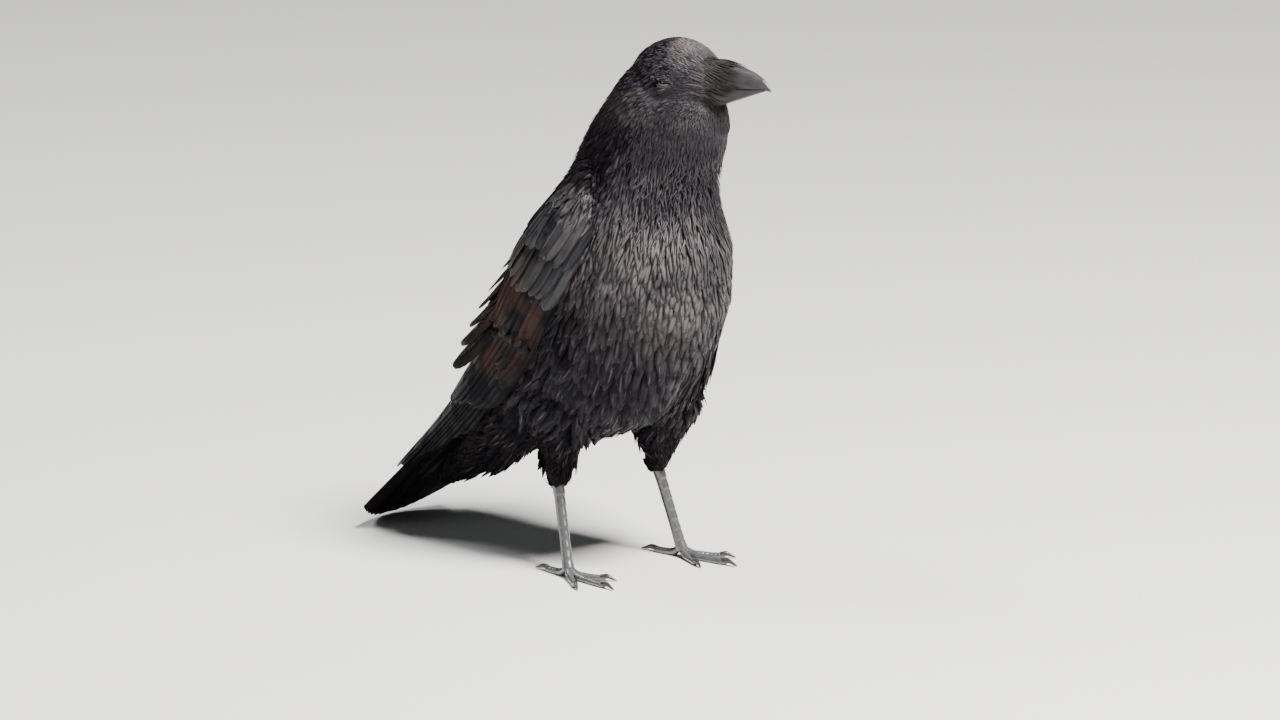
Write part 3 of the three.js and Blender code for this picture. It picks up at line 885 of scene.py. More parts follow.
WING_DESIGN = [(o, -f, u) for o, f, u in WING_LINE]
COVERT_ROWS = {
    "greater_coverts": dict(
        count=11, root=((0.14, -19, 0), (0.14, 30, 0)), tip=((0.385, -18, 3.4), (0.40, 28, 8.5)),
        width=15, shaft=-0.1, point=0.6, dome=(-3.4, 0.7),
    ),
    "primary_coverts": dict(
        count=5, root=((0.20, -20, 0), (0.20, -10, 0)), tip=((0.50, -18, 1.6), (0.46, -8, 3.0)),
        width=10, shaft=-0.2, point=0.6, dome=(-2.8, 1.3),
    ),
    # the median and lesser coverts carry a share of painted glint: the pale painted sheen colour on some of
    # their feathers
    "median_coverts": dict(
        count=11, root=((0.07, -20, 0), (0.07, 35, 0)), tip=((0.245, -20, 0), (0.26, 35, 0)),
        width=12.5, shaft=-0.05, point=0.75, painted_sheen=0.4, dome=(-3.6, 1.6),
    ),
    "lesser_coverts": dict(
        count=12, root=((0.015, -20, 0), (0.01, 38, 0)), tip=((0.155, -21, 0), (0.16, 38, 0)),
        width=10.5, shaft=0.0, point=0.9, painted_sheen=0.5, dome=(-4.2, 2.1),
    ),
}


def covert_dome(share, across):
    """How high the small coverts stand over the wing's sheet, in millimetres."""
    place = np.clip((share + 0.06) / 0.48, 0, 1)
    outline = np.sqrt(np.clip(1 - np.abs(2 * place - 1) ** 2.6, 0, 1))
    reach = np.maximum(32 * outline, 0.5)
    return 10 * np.maximum(outline, 0.45) * np.sqrt(np.clip(1 - ((across - 8) / reach) ** 2, 0, 1))


def wing_place(share, across, lift):
    """Places on the left wing's sheet, in millimetres, and the sheet's own directions there."""
    line = Line(WING_DESIGN)
    s = np.clip(share, 0, 1)
    p, ahead = line.point(s), line.ahead(s)
    whole = np.linalg.norm(np.diff(line.point(np.linspace(0, 1, 201)), axis=0), axis=1).sum()
    p = p + ahead * ((share - s) * whole)[:, None]
    out = np.array([[1.0, 0, 0]]) - ahead * ahead[:, :1]
    out = unit(out)
    back = unit(np.cross(out, ahead))
    roll = np.radians(np.interp(s, np.linspace(0, 1, len(WING_ROLL)), WING_ROLL))
    bow = np.where(across > 0, WING_BOW_BACK, WING_BOW_BELLY) * MM

    def turned(angle):
        c, n = np.cos(angle)[:, None], np.sin(angle)[:, None]
        return -out * n + back * c, out * c + back * n

    flat_across, flat_out = turned(roll)
    p = p + flat_across * across[:, None] + flat_out * (lift - bow * across**2)[:, None]
    across_way, out_way = turned(roll + np.arctan(2 * bow * across))
    return p, across_way, out_way


def quill_rings(length, width, point, rings=15):
    """Shares along a flight feather, and its half width there as a share of the greatest."""
    t = np.linspace(0, 1, rings)
    s = 0.35 * t + 0.65 * (1 - (1 - t) ** 1.5)
    start = 1 - (0.5 + point) * width / length
    round_off = np.sqrt(np.clip(1 - np.clip((s - start) / (1 - start + 0.004), 0, 1) ** 2, 0.0025, 1))
    return s, round_off * (0.5 + 0.5 * smooth(s, 0, 0.4))


def strips(n):
    """The coat's map of a row of long feathers, a strip for each: their middles and their size."""
    return np.stack([(np.arange(n) + 0.5) / n, np.full(n, 0.5)], 1), np.array([0.9 / n, 0.96])


def wing_row(name, row, side, rng):
    """One row of a wing's feathers, from the belly side to the back."""
    n, spines, ups, halves = row["count"], [], [], []
    for i in range(n):
        k = i / (n - 1)
        root = np.array(row["root"][0]) * (1 - k) + np.array(row["root"][1]) * k
        tip = np.array(row["tip"][0]) * (1 - k) + np.array(row["tip"][1]) * k
        tip = tip + rng.normal(0, 1, 3) * np.array([0.006, 0.6, 0.2])
        ends = wing_place(*np.stack([root, tip]).T)[0]
        s, outline = quill_rings(np.linalg.norm(ends[1] - ends[0]), row["width"], row["point"])
        spot = root[None] * (1 - s[:, None]) + tip[None] * s[:, None]
        spot[:, 2] = root[2] + (tip[2] - root[2]) * s ** row.get("rise", 1)
        slope = np.zeros(len(s))
        if "dome" in row:
            low, high = row["dome"]
            dome = covert_dome(spot[:, 0], spot[:, 1])
            spot[:, 2] = np.maximum(spot[:, 2] * s, dome) + low + (high - low) * s
            rise = covert_dome(spot[:, 0], spot[:, 1] + 1.5) - covert_dome(spot[:, 0], spot[:, 1] - 1.5)
            slope = np.clip(rise / 3, -0.8, 0.8)
        p, across, out = wing_place(spot[:, 0], spot[:, 1], spot[:, 2])
        out, across = unit(out - across * slope[:, None]), unit(across + out * slope[:, None])
        shingle = SHINGLE + ("painted_sheen" in row) * rng.normal(0, 0.2)
        up = out * math.cos(shingle) + across * math.sin(shingle)
        mirror = np.array([side, 1, 1])
        spines.append(outward(p, side))
        ups.append(up * mirror)
        halves.append(row["width"] / 2 * outline * MM)
    spine, up, half = np.stack(spines), np.stack(ups), np.stack(halves)
    thick = np.full(half.shape, row.get("thick", 0.7) * MM)
    camber = np.full(half.shape, row["width"] * 0.05 * MM)
    patch, size = strips(n)
    # seen along the feather, the section's left is the back of a left wing and the belly of a right one
    section = broad_section(row["shaft"] * -side)
    # painted glints: some feathers of rows that carry them are lightened towards the painted sheen colour
    return vanes(
        name, spine, up, half, section, thick, camber, patch, size, rng.random(n),
        bloom=row.get("painted_sheen", 0) * rng.uniform(0.5, 1, n) * (rng.random(n) < 0.4),
    )


def tail_row(rng):
    t, slope = TAIL, math.radians(TAIL["slope"])
    top = np.array([0, math.sin(slope), math.cos(slope)])
    n = t["count"]
    order = np.argsort(-np.abs(2 * np.arange(n) / (n - 1) - 1))
    spines, ups, halves = [], [], []
    for i in order:
        k = 2 * i / (n - 1) - 1
        turn = math.radians(t["fan"]) * k
        length = t["length"] - t["stagger"] * abs(k) ** 1.6
        ahead = np.array([
            math.sin(turn), math.cos(turn) * math.cos(slope), -math.cos(turn) * math.sin(slope),
        ])
        lie = abs(k) * (n / 2) * t["crown"]
        root = np.array([t["spread"] * k, -t["root"][0], t["root"][1]]) - top * lie
        s, outline = quill_rings(length, t["width"], -0.15, 17)
        spines.append(outward(root + ahead * (length * s)[:, None]))
        tilt = unit(top + 0.07 * np.sign(k) * np.array([1.0, 0, 0]))
        ups.append(np.broadcast_to(tilt, (len(s), 3)))
        halves.append(t["width"] / 2 * outline * MM)
    spine, up, half = np.stack(spines), np.stack(ups), np.stack(halves)
    thick = np.full(half.shape, 0.8 * MM)
    camber = np.full(half.shape, 0.5 * MM)
    patch, size = strips(n)
    return vanes(
        "tail_feathers", spine, up, half, broad_section(0.0), thick, camber, patch, size, rng.random(n),
    )


# ------------------------------------------------------------------ bill, eyes, legs

BILL_BASE, BILL_TIP = 60.0, 117.0
CULMEN = (
    (60, 66, 73, 79, 85, 91.5, 104.3, 111, 114.5, 116.4, 117),
    (332, 335, 336.4, 336.6, 336.2, 335.3, 332.8, 330.0, 327.2, 324.7, 322.9),
)
GONYS = ((60, 66, 78.8, 91.5, 104.3, 112, 114.6), (304.5, 306, 309.5, 314.5, 319.6, 322.6, 323.9))
BILL_HALF = ((60, 66, 73, 79, 91.5, 104.3, 113, 117), (9.2, 9.5, 9.3, 8.8, 6.8, 4.4, 2.0, 0.5))


def gape(forward):
    """Height of the line where the two halves of the bill meet."""
    line = 320.5 + math.tan(math.radians(4.5)) * (forward - 66)
    return line - 2.6 * smooth(forward, 80, 60) * (forward < 80)


def bill_half(name, upper):
    reach = BILL_TIP if upper else 114.6

    def place(share, angle):
        forward = BILL_BASE + (reach - BILL_BASE) * (1 - (1 - share) ** 1.35)
        half = np.interp(forward, *BILL_HALF)
        high, low, meet = np.interp(forward, *CULMEN), np.interp(forward, *GONYS), gape(forward)
        if upper:
            meet = meet - 1.5 * smooth(forward, 112.5, 116.8)
            rise = np.maximum(high - meet, 0.25)
        else:
            rise = np.minimum(low - meet, -0.2)
            half = half * 0.93
        # an arch over the cutting edge, closed by a flat floor just off the other half
        arch = np.clip(angle / (1.5 * math.pi), 0, 1) * math.pi
        flat = np.clip((angle - 1.5 * math.pi) / (0.5 * math.pi), 0, 1)
        power = 2 / 2.35
        across = np.sign(np.cos(arch)) * np.abs(np.cos(arch)) ** power
        across = np.where(flat > 0, -1 + 2 * flat, across)
        up = np.where(flat > 0, 0.0, np.abs(np.sin(arch)) ** (0.95 if upper else 0.9))
        ridge = 1 + 0.03 * np.exp(-(((arch - math.pi / 2) / 0.22) ** 2)) if upper else 1
        gap = 0.12 if upper else -0.12
        return outward(np.stack([half * across, -forward, meet + gap + rise * up * ridge], 1))

    return primitive_tube(name, 48, 60, place)


def eyeball(side, name):
    middle, out, fore, up = eye_frame(side)
    bpy.ops.object.select_all(action="DESELECT")
    bpy.ops.mesh.primitive_uv_sphere_add(segments=48, ring_count=32, radius=EYE_RADIUS)
    o = bpy.context.object
    o.name = o.data.name = name
    co = coordinates(o.data)
    axis = co[:, 2] / EYE_RADIUS
    # the clear front bulges over the iris
    bulge = 1 + 0.03 * smooth(axis, 0.72, 0.98)
    placed = middle + (co[:, :1] * fore + co[:, 1:2] * up + co[:, 2:3] * out) * bulge[:, None]
    set_coordinates(o.data, placed)
    add_number(o.data, "front", axis)
    select(o)
    bpy.ops.object.mode_set(mode="EDIT")
    bpy.ops.mesh.select_all(action="SELECT")
    bpy.ops.mesh.normals_make_consistent(inside=False)
    bpy.ops.object.mode_set(mode="OBJECT")
    o.data.shade_smooth()
    return o


def lids(side, name):
    """The bare rims of one eye's narrowed lids: a rolled edge round the almond opening."""
    middle, out, fore, up = eye_frame(side)
    ball = EYE_RADIUS / MM

    def place(share, angle):
        # angle runs round the lid's section from the rim outwards and back, share round the eye
        turn = share * 2 * math.pi
        c, n = np.cos(turn), np.sin(turn)
        out_share = (1 - np.cos(angle)) / 2
        rim = np.where(n > 0, ALMOND_UP, ALMOND_DOWN)
        edge = np.where(n > 0, ALMOND_UP + LID_UP, ALMOND_DOWN + LID_DOWN) + 0.5
        u = c * (ALMOND_LONG + (1.0 * out_share))
        v = ALMOND_RAISED + n * (rim + (edge - rim) * out_share) * (1 - 0.10 * c * c)
        lower = np.clip(-n, 0, 1)
        fold = 0.16 * np.exp(-((out_share / 0.16) ** 2))
        fold = fold - 0.05 * lower * np.exp(-(((out_share - 0.5) / 0.12) ** 2))
        radius = ball + 0.52 + fold + 0.20 * np.sin(angle) + 0.12 * lower * np.sin(out_share * math.pi)
        r = np.sqrt(np.clip(radius**2 - u * u - v * v, 0.2, None))
        return middle + (u[:, None] * fore + v[:, None] * up + r[:, None] * out) * MM

    return primitive_tube(name, 28, 91, place, closed=False)


def limb_frame(points, shares):
    line = Line(points)
    p, ahead = line.point(shares), line.ahead(shares)
    out = unit(np.array([[1.0, 0, 0]]) - ahead * ahead[:, :1])
    fore = unit(np.cross(ahead, out))
    return p, out, fore


def shank(leg, name):
    foot, ankle = np.array(leg["foot"], float), np.array(leg["ankle"], float)
    line = [foot + (ankle - foot) * s for s in (-0.03, 0.5, 1.06)]

    def place(share, angle):
        p, out, fore = limb_frame(line, share)
        wide = np.interp(share, (0, 0.12, 0.3, 0.75, 0.9, 1), (3.7, 3.2, 2.9, 2.95, 3.6, 4.3))
        deep = np.interp(share, (0, 0.12, 0.3, 0.75, 0.9, 1), (4.1, 3.6, 3.45, 3.65, 4.3, 4.6))
        # plates down the front, each overlapping the next one below
        step = (share * 9.0) % 1.0
        plate = np.clip(np.sin(angle) * front_of(fore), 0, 1) ** 0.5
        lip = 0.34 * (smooth(step, 0.0, 0.16) * (1 - 0.75 * smooth(step, 0.16, 1.0))) * plate
        edge = -0.16 * np.exp(-(((np.abs(np.sin(angle)) - 0.25) / 0.12) ** 2))
        grow = lip + edge
        across = out * ((wide + grow) * np.cos(angle))[:, None]
        return outward(p + across + fore * ((deep + grow) * np.sin(angle))[:, None])

    return primitive_tube(name, 36, 110, place)


def front_of(fore):
    """1 where a limb's own fore way points to the crow's front, and -1 where it points back."""
    return np.where(fore[:, 1] < 0, 1.0, -1.0)


# Each toe: name, bearing in degrees, length and radius in mm, and how far its claw reaches.
TOES = (
    ("hind", 180, 21, 2.9, 13), ("inner", -30, 25, 2.5, 10),
    ("middle", 0, 36, 2.7, 11), ("outer", 30, 28, 2.5, 9),
)
TOE_LIFT = 1.6


def toe_way(leg, bearing):
    angle = math.radians(leg["side"] * (leg["turn"] + bearing))
    ahead = np.array([math.sin(angle), -math.cos(angle), 0])
    return ahead, np.array([-ahead[1], ahead[0], 0])


def toe(leg, bearing, length, radius, name):
    ahead, out = toe_way(leg, bearing)
    start = np.array(leg["foot"], float)
    end = start + ahead * length
    a, b, c = start.copy(), start + (end - start) * 0.3, start + (end - start) * 0.65
    b[2], c[2], end[2] = TOE_LIFT + 0.8, TOE_LIFT, TOE_LIFT
    line = Line([a, b, c, end])
    joints = max(2, round(length / 9))

    def place(share, angle):
        p = line.point(share)
        swell = np.cos(share * joints * 2 * math.pi) * -0.5 + 0.5
        tip = np.sqrt(np.clip(1 - ((share - 0.93) / 0.075) ** 2, 0.1, 1))
        size = radius * (1 - 0.28 * share) * np.where(share > 0.93, tip, 1)
        under = np.clip(-np.sin(angle), 0, 1)
        over = np.clip(np.sin(angle), 0, 1)
        step = (share * length / 2.6) % 1.0
        scute = 0.2 * smooth(step, 0, 0.25) * (1 - 0.7 * smooth(step, 0.25, 1)) * over**0.5
        size = size * (1 - 0.08 * under * (1 - swell)) * (0.92 + 0.08 * swell) + scute
        p = p + out * (size * np.cos(angle))[:, None]
        p[:, 2] = np.maximum(p[:, 2] + size * np.sin(angle), 0.0)
        return outward(p)

    return primitive_tube(name, 24, 56, place)


def claw(leg, bearing, length, reach, name):
    ahead, out = toe_way(leg, bearing)
    start = np.array(leg["foot"], float) + ahead * (length - 3.2)
    points = []
    for share, up in ((0, TOE_LIFT + 0.4), (0.45, TOE_LIFT + 1.5), (0.85, TOE_LIFT), (1, 0.8)):
        p = start + ahead * (reach * share + (1 if share == 1 else 0))
        p[2] = up
        points.append(p)
    line = Line(points)

    def place(share, angle):
        p = line.point(share)
        size = 1.75 + (0.22 - 1.75) * share**1.2
        keel = np.clip(-np.sin(angle), 0, 1)
        p = p + out * (size * (1 - 0.25 * keel) * np.cos(angle))[:, None]
        p[:, 2] = np.maximum(p[:, 2] + 1.15 * size * np.sin(angle), 0.05)
        return outward(p)

    return primitive_tube(name, 20, 26, place)


def bristles(name, skin, horns, rng):
    """Stiff narrow feathers over the nostrils and round the foot of the bill, pointing forwards."""
    ground = Surface(skin, *horns)
    q = own_place(ground.middles)
    ahead, up = -q[:, 1], q[:, 2]
    # the line under the brow, from the ridge of the bill to ahead of the eye and to the gape
    edge = np.interp(up, (306, 314, 322, 331, 338, 342), (64, 60, 56.5, 56, 59, 63))
    own = np.arange(len(q)) < len(skin.data.polygons)
    place = own & (ahead > edge) & (up > 304) & (up < 343.5)
    chance = ground.area * place * (1 + 6 * smooth(up, 326, 338))
    count = 3000
    faces = rng.choice(len(chance), count, p=chance / chance.sum())
    roots = ground.middles[faces] + rng.normal(0, 0.5 * MM, (count, 3))
    up = (roots[:, 2] - FLOOR_MIDDLE[2]) / MM
    reach = np.interp(up, (304, 314, 319, 324, 333, 339, 343), (5, 8, 17, 28, 30, 28, 24))
    length = reach * rng.uniform(0.62, 1.08, count)
    low = smooth(up, 322, 312)
    aside = np.sign(roots[:, 0]) * rng.normal(0.02, 0.08, count)
    way = np.stack([aside, -np.ones(count), rng.normal(-0.10, 0.07, count)], 1)
    way[:, 2] -= 0.55 * low
    rings = 7
    spine, ups, root_faces = ground.march(roots, unit(way), length * MM, rings)
    s = np.linspace(0, 1, rings)[None]
    high = 1 - 0.6 * smooth(up, 332, 340)
    arch = (high * rng.uniform(0.5, 1.7, count))[:, None] * np.sin(s * math.pi * 0.6)
    lift = 0.1 + arch * np.clip(length / 14, 0.4, 1)[:, None]
    spine = spine + ups * (lift * MM)[..., None]
    for _ in range(2):
        spine[:, 1:-1] = (spine[:, :-2] + spine[:, 2:] + 2 * spine[:, 1:-1]) / 4
    outline = np.clip(1 - s**2.2, 0.07, 1) * (0.6 + 0.4 * smooth(s, 0, 0.3))
    half = rng.uniform(0.32, 0.52, count)[:, None] * outline * MM
    ones = np.ones((count, rings))
    # a random share of painted sheen lightens the bristles
    return vanes(
        name, spine, ups, half, SMALL_SECTION, 0.2 * MM * ones, 0.06 * MM * ones,
        ground.map_at(spine[:, 0], root_faces), TUFT_PATCH, rng.random(count),
        bloom=0.55 * rng.random(count) ** 2 + 0.12,
    )


# ------------------------------------------------------------------ materials

class Finish:
    """A material built from nodes."""

    def __init__(self, name):
        self.material = bpy.data.materials.new(name)
        self.material.use_nodes = True
        self.tree = self.material.node_tree
        self.shader = self.tree.nodes["Principled BSDF"]

    def add(self, kind, inputs=None, **settings):
        node = self.tree.nodes.new(kind)
        for key, value in settings.items():
            setattr(node, key, value)
        for key, value in (inputs or {}).items():
            self.put(node.inputs[key], value)
        return node

    def put(self, socket, value):
        if isinstance(value, bpy.types.NodeSocket):
            self.tree.links.new(value, socket)
        else:
            socket.default_value = value

    def math(self, operation, a, b=0.0, clamp=False):
        node = self.add("ShaderNodeMath", {0: a, 1: b}, operation=operation, use_clamp=clamp)
        return node.outputs[0]

    def step(self, value, low, high, out_low=0.0, out_high=1.0):
        node = self.add(
            "ShaderNodeMapRange",
            {"Value": value, "From Min": low, "From Max": high, "To Min": out_low, "To Max": out_high},
            interpolation_type="SMOOTHSTEP",
        )
        return node.outputs["Result"]

    def mix(self, share, a, b):
        node = self.add("ShaderNodeMix", data_type="RGBA")
        self.put(node.inputs["Factor"], share)
        self.put(node.inputs["A"], a)
        self.put(node.inputs["B"], b)
        return node.outputs["Result"]

    def noise(self, scale, detail, vector=None):
        inputs = {"Vector": vector or self.place(), "Scale": scale, "Detail": detail}
        return self.add("ShaderNodeTexNoise", inputs).outputs["Fac"]

    def place(self):
        return self.add("ShaderNodeTexCoord").outputs["Object"]

    def number(self, name):
        return self.add("ShaderNodeAttribute", attribute_name=name).outputs["Fac"]

    def near(self, centre, reach):
        """How near a place in the frame is, from 0 past reach to 1 at the place."""
        way = self.add("ShaderNodeVectorMath", {0: self.place(), 1: tuple(centre)}, operation="SUBTRACT")
        far = self.add("ShaderNodeVectorMath", {0: way.outputs[0]}, operation="LENGTH").outputs["Value"]
        return self.step(far, reach, reach * 0.35)

    def bump(self, height, strength, distance):
        node = self.add("ShaderNodeBump", {"Height": height, "Strength": strength, "Distance": distance})
        self.tree.links.new(node.outputs["Normal"], self.shader.inputs["Normal"])

    def set(self, **sockets):
        for key, value in sockets.items():
            self.put(self.shader.inputs[key.replace("_", " ")], value)
        return self.material


def rgb(colour, share=1.0):
    return (colour[0] * share, colour[1] * share, colour[2] * share, 1.0)


def feather_finish(
    name, plumage, gloss, rough, worn_at=(), sheen=0.01, barbs=20.0, bump=0.3, shine=0.16, glint=0.7
):
    f = Finish(name)
    vane = f.add("ShaderNodeUVMap", uv_map="vane").outputs["UV"]
    parts = f.add("ShaderNodeSeparateXYZ", {0: vane})
    aside = f.math("ABSOLUTE", f.math("SUBTRACT", parts.outputs[0], 0.5))
    slant = f.math("SUBTRACT", parts.outputs[1], f.math("MULTIPLY", aside, 1.15))
    barb = f.math("SINE", f.math("MULTIPLY", slant, barbs * 2 * math.pi))
    clump = f.noise(520.0, 2.0)
    tint, share = f.number("tint"), f.number("share")
    mottle = f.noise(38.0, 2.0)
    dark = f.mix(tint, rgb(plumage.black, 0.65), rgb(plumage.black, 1.55))
    # painted sheen: the vane's share of it, broken into mottled lit and dark patches, mixes the black towards
    # the painted sheen colour
    bloom = f.math("MULTIPLY", f.number("bloom"), f.step(mottle, 0.32, 0.64, 0.3, 1.0))
    dark = f.mix(bloom, dark, rgb(plumage.painted_sheen))
    # painted glints: a pale streak beside the shaft, midway along some feathers
    off = f.math("SUBTRACT", parts.outputs[0], 0.5)
    streak = f.math("MULTIPLY", f.step(off, 0.01, 0.05), f.step(off, 0.16, 0.09))
    midway = f.math("MULTIPLY", f.step(share, 0.2, 0.45), f.step(share, 0.98, 0.8))
    streak = f.math("MULTIPLY", streak, midway)
    streak = f.math("MULTIPLY", streak, f.step(tint, 0.70, 0.85))
    dark = f.mix(f.math("MULTIPLY", streak, glint), dark, rgb(plumage.painted_sheen, 0.9))
    fringe = f.math("MULTIPLY", f.step(share, 0.80, 1.0), 0.16)
    colour = f.mix(fringe, dark, rgb([c * 0.5 + w * 0.5 for c, w in zip(plumage.black, plumage.worn)], 1.2))
    wear = 0.0
    for centre, reach in worn_at:
        wear = f.math("ADD", wear, f.near(centre, reach), clamp=True)
    if worn_at:
        uneven = f.math("ADD", mottle, f.math("MULTIPLY", tint, 0.35))
        wear = f.math("MULTIPLY", wear, f.step(uneven, 0.42, 0.75))
        colour = f.mix(wear, colour, rgb(plumage.worn))
    roughness = f.math("ADD", f.math("MULTIPLY", tint, 0.14), f.math("MULTIPLY", clump, 0.12))
    roughness = f.math("ADD", roughness, rough - 0.1)
    roughness = f.math("ADD", roughness, f.math("MULTIPLY", f.step(f.noise(90.0, 2.0), 0.45, 0.58), 0.3))
    if worn_at:
        roughness = f.math("ADD", roughness, f.math("MULTIPLY", wear, 0.2))
    relief = f.math("ADD", f.math("MULTIPLY", barb, 0.35), f.math("MULTIPLY", clump, 0.9))
    f.bump(relief, bump, 0.00025)
    return f.set(
        Base_Color=colour, Roughness=roughness, Specular_IOR_Level=shine, Specular_Tint=rgb(gloss),
        Sheen_Weight=sheen, Sheen_Roughness=0.42, Sheen_Tint=rgb(gloss),
    )


def skin_finish(name, plumage):
    f = Finish(name)
    grain = f.noise(900.0, 3.0)
    colour = f.mix(grain, rgb(plumage.black, 0.5), rgb(plumage.black, 1.0))
    # painted sheen on the skin, at half the share the feathers carry
    colour = f.mix(f.math("MULTIPLY", f.number("bloom"), 0.5), colour, rgb(plumage.painted_sheen))
    f.bump(grain, 0.4, 0.0003)
    return f.set(Base_Color=colour, Roughness=0.75, Specular_IOR_Level=0.2)


def horn_finish(name, colour, rough=0.34):
    f = Finish(name)
    place = f.place()
    stretch = f.add("ShaderNodeMapping", {"Vector": place, "Scale": (1.0, 0.12, 1.0)})
    grain = f.noise(520.0, 4.0, stretch.outputs[0])
    broad = f.noise(70.0, 3.0)
    base = f.mix(broad, rgb(colour, 0.7), rgb(colour, 1.7))
    base = f.mix(f.step(grain, 0.45, 0.8), base, rgb(colour, 2.1))
    roughness = f.math("ADD", f.math("MULTIPLY", grain, 0.22), rough - 0.08)
    f.bump(f.math("ADD", grain, f.math("MULTIPLY", broad, 0.6)), 0.28, 0.0003)
    return f.set(
        Base_Color=base, Roughness=roughness, Specular_IOR_Level=0.45, Coat_Weight=0.08, Coat_Roughness=0.25
    )


def scute_finish(name, colour):
    f = Finish(name)
    cells = f.add("ShaderNodeTexVoronoi", {"Scale": 900.0, "Randomness": 0.8}, feature="DISTANCE_TO_EDGE")
    f.tree.links.new(f.place(), cells.inputs["Vector"])
    crack = f.step(cells.outputs["Distance"], 0.0, 0.12)
    broad = f.noise(120.0, 3.0)
    base = f.mix(broad, rgb(colour, 0.7), rgb(colour, 1.6))
    base = f.mix(crack, rgb(colour, 0.7), base)
    f.bump(crack, 0.14, 0.0002)
    roughness = f.math("ADD", f.math("MULTIPLY", broad, 0.2), 0.18)
    return f.set(
        Base_Color=base, Roughness=roughness, Specular_IOR_Level=0.9, Coat_Weight=0.5, Coat_Roughness=0.22
    )


def eye_finish(name, iris):
    f = Finish(name)
    front = f.number("front")
    streak = f.noise(1800.0, 2.0)
    brown = f.mix(streak, rgb(iris, 0.6), rgb(iris, 1.5))
    inner = f.mix(f.step(front, 0.885, 0.9), brown, (0.001, 0.001, 0.001, 1.0))
    colour = f.mix(f.step(front, 0.56, 0.6), (0.006, 0.005, 0.005, 1.0), inner)
    return f.set(
        Base_Color=colour, Roughness=0.06, Specular_IOR_Level=0.6, Coat_Weight=1.0, Coat_Roughness=0.02
    )


def lid_finish(name, colour):
    f = Finish(name)
    fold = f.noise(1500.0, 3.0)
    base = f.mix(fold, rgb(colour, 0.55), rgb(colour, 1.5))
    f.bump(fold, 0.5, 0.0002)
    return f.set(Base_Color=base, Roughness=0.55, Specular_IOR_Level=0.4)


def floor_finish(name, colour):
    f = Finish(name)
    grain = f.noise(9.0, 4.0)
    base = f.mix(grain, rgb(colour, 0.985), rgb(colour, 1.0))
    return f.set(Base_Color=base, Roughness=0.85, Specular_IOR_Level=0.2)


# ------------------------------------------------------------------ operators

def plumage_of(context):
    return context.scene.crow_plumage


def bare_of(context):
    return context.scene.crow_bare_parts


class CROW_OT_skin(bpy.types.Operator):
    """One skin over the head, neck, trunk, thighs and the arms of the wings"""

    bl_idname = "crow.skin"
    bl_label = "Skin"

    def execute(self, context):
        skin = make_skin()
        settle(skin, FLESH, skin_finish("skin under the feathers", plumage_of(context)))
        return {"FINISHED"}


class CROW_OT_small_feathers(bpy.types.Operator):
    """The contour feathers, laid over the skin from the bill to the tail"""

    bl_idname = "crow.small_feathers"
    bl_label = "Small feathers"

    def execute(self, context):
        skin = bpy.data.objects.get("skin")
        if skin is None:
            raise RuntimeError("make the skin before its feathers")
        plumage = plumage_of(context)
        lit = feather_finish("glossy feathers", plumage, plumage.gloss, 0.42, shine=0.38)
        dull = feather_finish(
            "dull feathers", plumage, plumage.gloss, 0.52, sheen=0.0, shine=0.05, glint=0.55
        )
        wing = feather_finish("shoulder feathers", plumage, COVERT_GLOSS, 0.28, shine=0.5)
        soft = feather_finish("belly feathers", plumage, plumage.gloss, 0.46, shine=0.16)
        finish = dict(face=lit, throat=lit, breast=lit, belly=soft, shoulder=wing)
        for piece in small_feathers(skin, plumage):
            settle(piece, (), finish.get(piece.name.split("_")[1], dull))
        return {"FINISHED"}


def worn_places():
    """Where the right wing's feathers are bleached, and the same on the left."""
    spots = []
    for side in (-1, 1):
        p = wing_place(np.array([0.30, 0.42]), np.array([4.0, 6.0]), np.array([6.0, 5.0]))[0]
        for q, reach in zip(outward(p, side), (0.042, 0.036)):
            spots.append((q, reach))
    return spots


class CROW_OT_wings(bpy.types.Operator):
    """The folded wings: primaries, secondaries, tertials and four rows of coverts over their roots"""

    bl_idname = "crow.wings"
    bl_label = "Wings"

    def execute(self, context):
        plumage = plumage_of(context)
        both = dict(worn_at=worn_places(), sheen=0.0, barbs=16.0)
        finish = feather_finish("wing feathers", plumage, WING_GLOSS, 0.36, shine=0.07, glint=0.3, **both)
        fresh = feather_finish("small coverts", plumage, COVERT_GLOSS, 0.28, bump=0.4, shine=0.30, **both)
        rng = np.random.default_rng(plumage.seed + 1)
        for side_name, side in SIDES:
            for name, row in {**WING_ROWS, **COVERT_ROWS}.items():
                piece = wing_row(f"{name}_{side_name}", row, side, rng)
                replaced = [f"wing_{side_name}_{name}"] if name in WING_ROWS else ()
                settle(piece, replaced, fresh if "painted_sheen" in row else finish)
        return {"FINISHED"}


class CROW_OT_tail(bpy.types.Operator):
    """The tail's twelve feathers, fanned a little"""

    bl_idname = "crow.tail"
    bl_label = "Tail"

    def execute(self, context):
        plumage = plumage_of(context)
        piece = tail_row(np.random.default_rng(plumage.seed + 2))
        finish = feather_finish(
            "tail feathers", plumage, WING_GLOSS, 0.62, sheen=0.0, barbs=16.0, shine=0.012, glint=0.0
        )
        settle(piece, ["tail"], finish)
        return {"FINISHED"}


class CROW_OT_bill(bpy.types.Operator):
    """The bill's two halves and the bristles over its foot"""

    bl_idname = "crow.bill"
    bl_label = "Bill"

    def execute(self, context):
        colour = bare_of(context).horn
        # the lower bill horn is painted at half the horn's colour as painted shade under the upper bill
        finishes = [
            horn_finish("upper bill horn", colour),
            horn_finish("lower bill horn", [0.5 * c for c in colour], 0.5),
        ]
        horns = [bill_half("bill_horn_upper", True), bill_half("bill_horn_lower", False)]
        for piece, node, horn in zip(horns, ("bill_upper", "bill_lower"), finishes):
            settle(piece, [node], horn)
        plumage = plumage_of(context)
        skin = bpy.data.objects["skin"]
        piece = bristles("bristles_of_bill", skin, horns, np.random.default_rng(plumage.seed + 3))
        finish = feather_finish("bristles", plumage, BRISTLE_GLOSS, 0.42, shine=0.2)
        settle(piece, (), finish)
        return {"FINISHED"}


